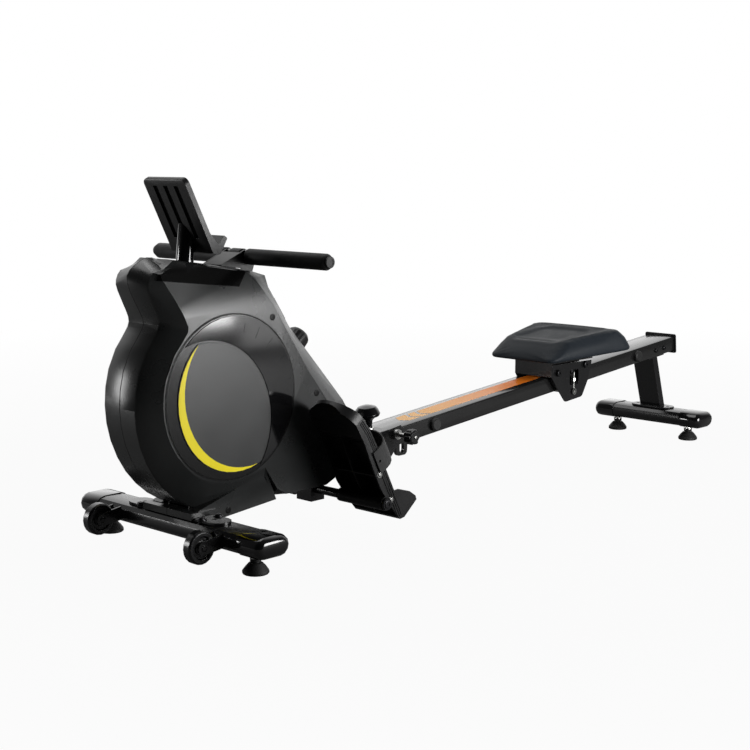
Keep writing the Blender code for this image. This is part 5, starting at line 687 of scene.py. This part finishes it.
# Knobs: moulded ribs round the tension dial, rounded lobes on the star knob with a bright stud
# end, and a bright collar under the pull knob.
DIAL_PLACE, DIAL_AXIS = Vector((-0.46061, 0.0, 0.35205)), Vector((0.7376, 0.0, 0.6752))
DIAL_RIBS, DIAL_RIB_SIZE = 20, (0.0016, 0.0024, 0.0130)
DIAL_RIB_PLACE = (0.0226, 0.0, 0.0130)
STAR_PLACE, STAR_AXIS = (-0.2055, -0.0900, 0.15003), (0.0, -1.0, 0.0)
STAR_LOBES, LOBE_RADIUS, LOBE_LENGTH = 6, 0.0046, 0.0150
LOBE_PLACE = (0.0122, 0.0, 0.0)
STUD_END = (-0.2055, -0.0990, 0.15003)
LOCK_PLACE, LOCK_AXIS = Vector((-0.24123, 0.0, 0.15696)), Vector((-0.09115, 0.0, 0.99584))
COLLAR_RISE = 0.0040


def softened(part, edges, width, steps=2):
    """Rounds the edges given, before the part is put in its place."""
    bmesh.ops.bevel(part, geom=edges, offset=width, segments=steps, profile=0.5, affect="EDGES",
                    material=-1)


def spaced(part, place, turn, count):
    """Moves a part off its axis and turns it to its own step of a ring."""
    bmesh.ops.translate(part, vec=place, verts=part.verts)
    bmesh.ops.rotate(part, cent=(0.0, 0.0, 0.0), verts=part.verts,
                     matrix=Matrix.Rotation(math.tau * turn / count, 3, "Z"))


dial_ribs = bmesh.new()
for turn in range(DIAL_RIBS):
    rib = bmesh.new()
    bmesh.ops.create_cube(rib, size=1.0)
    bmesh.ops.scale(rib, vec=DIAL_RIB_SIZE, verts=rib.verts)
    softened(rib, rib.edges[:], 0.0005)
    spaced(rib, DIAL_RIB_PLACE, turn, DIAL_RIBS)
    stood(rib, dial_ribs, DIAL_PLACE, DIAL_AXIS)
settled(dial_ribs, "dial_ribs", nylon, "tension_knob")

star_lobes = bmesh.new()
for turn in range(STAR_LOBES):
    lobe = bmesh.new()
    bmesh.ops.create_cone(lobe, cap_ends=True, segments=18, radius1=LOBE_RADIUS,
                          radius2=LOBE_RADIUS, depth=LOBE_LENGTH)
    softened(lobe, [edge for edge in lobe.edges if edge.calc_length() < LOBE_RADIUS], 0.0012)
    spaced(lobe, LOBE_PLACE, turn, STAR_LOBES)
    stood(lobe, star_lobes, STAR_PLACE, STAR_AXIS)
settled(star_lobes, "star_knob_lobes", nylon, "hand_knob")
stud_end = bmesh.new()
fastener(stud_end, STUD_END, STAR_AXIS, 0.0040, 0.0030, 20, 0.0)
settled(stud_end, "star_knob_stud", bright_zinc, "hand_knob")

collar = bmesh.new()
fastener(collar, LOCK_PLACE + LOCK_AXIS * COLLAR_RISE, LOCK_AXIS, 0.0100, 0.0050, 6, 0.0, 0.0125)
settled(collar, "lock_knob_collar", bright_zinc, "frame", 25)


# Console screen: a dark pane with rounded corners, sunk a little in a thin bezel, laid on the
# case's sloping face towards the rower.
SCREEN_MIDDLE = Vector((-0.5287, 0.0, 0.4412))
SCREEN_WAY = (-0.8064, 0.0, -0.5914)
SCREEN_AWAY = Vector((0.3, 0.0, 0.22))
SCREEN_SIZE = (0.044, 0.026, 0.0012)
SCREEN_CORNER = 0.004
SCREEN_LIFT = 0.0002
BEZEL_WIDTH, BEZEL_DEPTH = 0.0016, 0.0004

screen_glass = finish_of("screen_glass", (0.010, 0.014, 0.012), 0.10, 0.5, 0.000002, 0.1, 20)
spot, facing = land("console", SCREEN_MIDDLE + SCREEN_AWAY, SCREEN_WAY)
pane = bmesh.new()
bmesh.ops.create_cube(pane, size=1.0)
bmesh.ops.scale(pane, vec=SCREEN_SIZE, verts=pane.verts)
uprights = [edge for edge in pane.edges if abs(edge.verts[0].co.z - edge.verts[1].co.z) > 0.001]
softened(pane, uprights, SCREEN_CORNER, 5)
front = max(pane.faces, key=lambda face: face.calc_center_median().z)
bmesh.ops.inset_region(pane, faces=[front], thickness=BEZEL_WIDTH)
front = max(pane.faces, key=lambda face: (round(face.calc_center_median().z, 5),
                                          face.calc_area()))
bmesh.ops.inset_region(pane, faces=[front], thickness=0.0003, depth=-BEZEL_DEPTH)
spaced(pane, (0.0, 0.0, 0.0), 1, 4)
screen = bmesh.new()
stood(pane, screen, spot + facing * SCREEN_LIFT, facing)
settled(screen, "console_screen", screen_glass, "frame", 20)


# Handle: a steel bar with a foam grip pushed over each half and a rubber plug in the end of each
# grip, pulled by a flat woven strap that comes out of the hood and is stitched round the bar.
PLUG_PLACE = Vector((-0.5895, 0.2418, 0.535))
THREADS = (("X", 190.0), ("Y", 240.0))
THREAD_DEPTH = 0.00025
STRAP_START, STRAP_END = Vector((-0.6678, 0.0, 0.51)), Vector((-0.5751, 0.0, 0.51))
STRAP_PARTS = 16

foam = finish_of("foam_grip", (0.006, 0.006, 0.0065), 0.60, 0.7, 0.00008, 0.2, 20, sheen=0.05,
                 shine=0.3)
dressed("handle_bar", "handle", powder_coat)
for hand, side in HANDS:
    dressed("handle_grip_" + hand, "handle", foam, 40, 0.001)
    plug = bmesh.new()
    fastener(plug, (PLUG_PLACE.x, side * PLUG_PLACE.y, PLUG_PLACE.z), (0.0, side, 0.0), 0.0105,
             0.0016, 32, 0.62)
    settled(plug, "grip_plug_" + hand, rubber, "handle")

webbing = finish_of("webbing", (0.010, 0.010, 0.010), 0.72, 0.6, 0.00006, 0.3, 20, sheen=0.2)
weave_nodes, weave_links = webbing.node_tree.nodes, webbing.node_tree.links
weave_place = weave_nodes.new("ShaderNodeTexCoord")
woven = reckoned(weave_nodes, "MULTIPLY")
for way, (bands, closeness) in enumerate(THREADS):
    thread = weave_nodes.new("ShaderNodeTexWave")
    thread.bands_direction = bands
    thread.inputs["Scale"].default_value = closeness
    weave_links.new(weave_place.outputs["Object"], thread.inputs["Vector"])
    weave_links.new(thread.outputs["Fac"], woven.inputs[way])
weave_links.new(woven.outputs["Value"], weave_nodes["bump"].inputs["Height"])
weave_nodes["bump"].inputs["Distance"].default_value = THREAD_DEPTH

# The strap is cut into short lengths, so that it can stretch between the hood and the handle.
strip = bmesh.new()
strip.from_mesh(frame["nodes"]["pull_strap"].data)
bmesh.ops.remove_doubles(strip, verts=strip.verts, dist=MERGE_GAP)
for part in range(1, STRAP_PARTS):
    bmesh.ops.bisect_plane(strip, geom=strip.verts[:] + strip.edges[:] + strip.faces[:],
                           dist=MERGE_GAP, plane_co=STRAP_START.lerp(STRAP_END, part / STRAP_PARTS),
                           plane_no=(1.0, 0.0, 0.0))
shaded(strip, 30)
strap = added(strip, "webbing_strap", webbing)
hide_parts("pull_strap")
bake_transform(strap)


# Footplates: deep ribbed mouldings that tilt on the crossbar, with three raised lines along the
# outer wall, and a wide woven strap over each foot, bolted through the plate's side walls.
RIB_OFFSETS = (0.0030, 0.0070, 0.0110)
RIB_WIDTH = 0.0016
RIB_PROUD = 0.0011
RIB_SUNK = 0.0001
HEEL_HEIGHT, LEVEL_STEP, LEVELS = 0.092, 0.006, 29
SEARCH_FROM, SEARCH_STEP, SEARCHES = -0.3200, 0.0005, 380
OUTER_WALL = 0.2050
PLATE_MIDDLE = 0.1477
STRAP_BOLTS = ((-0.4260, 0.1250), (-0.3960, 0.0700))


def foot_edge(node, side):
    """Where the plate's outer wall ends towards the foot, from near the heel up to the toes."""
    wall = skin_of(node)
    edge = []
    for level in range(LEVELS):
        up = HEEL_HEIGHT + LEVEL_STEP * level
        for step in range(SEARCHES):
            along = SEARCH_FROM - SEARCH_STEP * step
            spot = wall.ray_cast(Vector((along, side * 0.5, up)), Vector((0.0, -side, 0.0)))[0]
            if spot and abs(spot.y) > OUTER_WALL:
                edge.append(Vector((along, spot.y, up)))
                break
    return edge


def moulded_ribs(node, side):
    """Raised lines that follow the wall's edge, swept along it and given their thickness."""
    edge = foot_edge(node, side)
    ribs = bmesh.new()
    for offset in RIB_OFFSETS:
        rung = None
        for before, here, after in zip(edge, edge[1:], edge[2:]):
            run = (after - before).normalized()
            inward = Vector((-run.z, 0.0, run.x))
            pair = [here + inward * (offset + shift) + Vector((0.0, side * RIB_SUNK, 0.0))
                    for shift in (0.0, RIB_WIDTH)]
            if rung is None:
                rung = ribs.edges.new([ribs.verts.new(spot) for spot in pair])
                continue
            swept = bmesh.ops.extrude_edge_only(ribs, edges=[rung])["geom"]
            rung = next(item for item in swept if isinstance(item, bmesh.types.BMEdge))
            ends = [item for item in swept if isinstance(item, bmesh.types.BMVert)]
            ends.sort(key=lambda end: (end.co - pair[0]).length - (end.co - pair[1]).length)
            for end, spot in zip(ends, pair):
                end.co = spot
    walls = bmesh.ops.extrude_face_region(ribs, geom=ribs.faces[:])
    lifted = [item for item in walls["geom"] if isinstance(item, bmesh.types.BMVert)]
    bmesh.ops.translate(ribs, vec=(0.0, side * RIB_PROUD, 0.0), verts=lifted)
    bmesh.ops.recalc_face_normals(ribs, faces=ribs.faces)
    return ribs


pedal_plastic = finish_of("pedal_plastic", (0.008, 0.008, 0.0085), 0.36, 0.6, 0.00005, 0.16, 40,
                          shine=0.32)
for hand, side in HANDS:
    plate, pedal = "foot_plate_" + hand, "pedal_" + hand
    dressed(plate, pedal, pedal_plastic, 26)
    dressed("foot_strap_" + hand, pedal, webbing, 26, 0.0003)
    settled(moulded_ribs(plate, side), "plate_ribs_" + hand, pedal_plastic, pedal)
    strap_bolts = bmesh.new()
    for along, up in STRAP_BOLTS:
        for flank in (-1, 1):
            spot, facing = land(plate, (along, side * PLATE_MIDDLE + flank * 0.15, up),
                                (0.0, -flank, 0.0))
            fastener(strap_bolts, spot, (0.0, flank, 0.0), 0.0050, 0.0030, 24, 0.5, 0.0070)
    settled(strap_bolts, "strap_bolts_" + hand, zinc, pedal, 25)


# Seat: a firm foam pad moulded over a plywood base, with a leathery skin. The top carries a
# shallow rounded panel with a raised rim round it, and the skin swells a little between its edges.
SEAT_MIDDLE = Vector((0.386, 0.0, 0.305))
SEAT_VOXEL = 0.0035
STUFFING = 3.0
SEAT_SWELL = 0.005
CLOTH_STEPS = 15
UNDERSIDE_FACING = -0.35
TOP_FACING = 0.6
PANEL_HALF = (0.068, 0.070)
PANEL_ROUND = 0.030
PANEL_DEPTH = 0.0026
PANEL_EDGE = 0.008
RIM_AWAY, RIM_WIDTH, RIM_HEIGHT = 0.010, 0.006, 0.0012


def remeshed(piece, voxel):
    """Turns a solid into an even skin of small squares."""
    skin = piece.modifiers.new("skin", "REMESH")
    skin.mode = "VOXEL"
    skin.voxel_size = voxel
    even = bpy.data.meshes.new_from_object(
        piece.evaluated_get(bpy.context.evaluated_depsgraph_get()))
    piece.modifiers.clear()
    piece.data = even


def stuffed(piece, push, most):
    """Blows the skin out by a short cloth run, with its flat underside held where it rests."""
    start = [point.co.copy() for point in piece.data.vertices]
    held = piece.vertex_groups.new(name="underside")
    under = [point.index for point in piece.data.vertices if point.normal.z < UNDERSIDE_FACING]
    held.add(under, 1.0, "REPLACE")
    cloth = piece.modifiers.new("cloth", "CLOTH")
    cloth.settings.use_pressure = True
    cloth.settings.uniform_pressure_force = push
    cloth.settings.effector_weights.gravity = 0.0
    cloth.settings.vertex_group_mass = "underside"
    for step in range(1, CLOTH_STEPS + 1):
        scene.frame_set(step)
    blown = piece.evaluated_get(bpy.context.evaluated_depsgraph_get())
    ends = [point.co.copy() for point in blown.data.vertices]
    piece.modifiers.clear()
    piece.vertex_groups.clear()
    scene.frame_set(1)
    for point, was, now in zip(piece.data.vertices, start, ends):
        moved = now - was
        if moved.length > most:
            moved *= most / moved.length
        point.co = was + moved


seat_skin = finish_of("seat_skin", (0.014, 0.018, 0.023), 0.50, 0.7, 0.00008, 0.12, 50,
                      shine=0.17)
cushion = dressed("seat_cushion", "seat", seat_skin, 40, 0.0)
remeshed(cushion, SEAT_VOXEL)
stuffed(cushion, STUFFING, SEAT_SWELL)
skin = bmesh.new()
skin.from_mesh(cushion.data)
for point in skin.verts:
    if point.normal.z < TOP_FACING:
        continue
    # How far the point lies outside the panel's rounded outline.
    along = abs(point.co.x - SEAT_MIDDLE.x) - PANEL_HALF[0] + PANEL_ROUND
    across = abs(point.co.y) - PANEL_HALF[1] + PANEL_ROUND
    outside = (math.hypot(max(along, 0.0), max(across, 0.0)) + min(max(along, across), 0.0)
               - PANEL_ROUND)
    edge = min(max(outside / PANEL_EDGE + 0.5, 0.0), 1.0)
    rim = math.exp(-((outside - RIM_AWAY) / RIM_WIDTH) ** 2)
    point.co.z += rim * RIM_HEIGHT - PANEL_DEPTH * (1.0 - edge * edge * (3.0 - 2.0 * edge))
bmesh.ops.smooth_vert(skin, verts=skin.verts, factor=0.5, use_axis_x=True, use_axis_y=True,
                      use_axis_z=True)
for face in skin.faces:
    face.smooth = True
skin.to_mesh(cushion.data)
skin.free()
cushion.data.materials.clear()
cushion.data.materials.append(seat_skin)
finer = cushion.modifiers.new("finer", "SUBSURF")
finer.levels = 1
finer.render_levels = 1
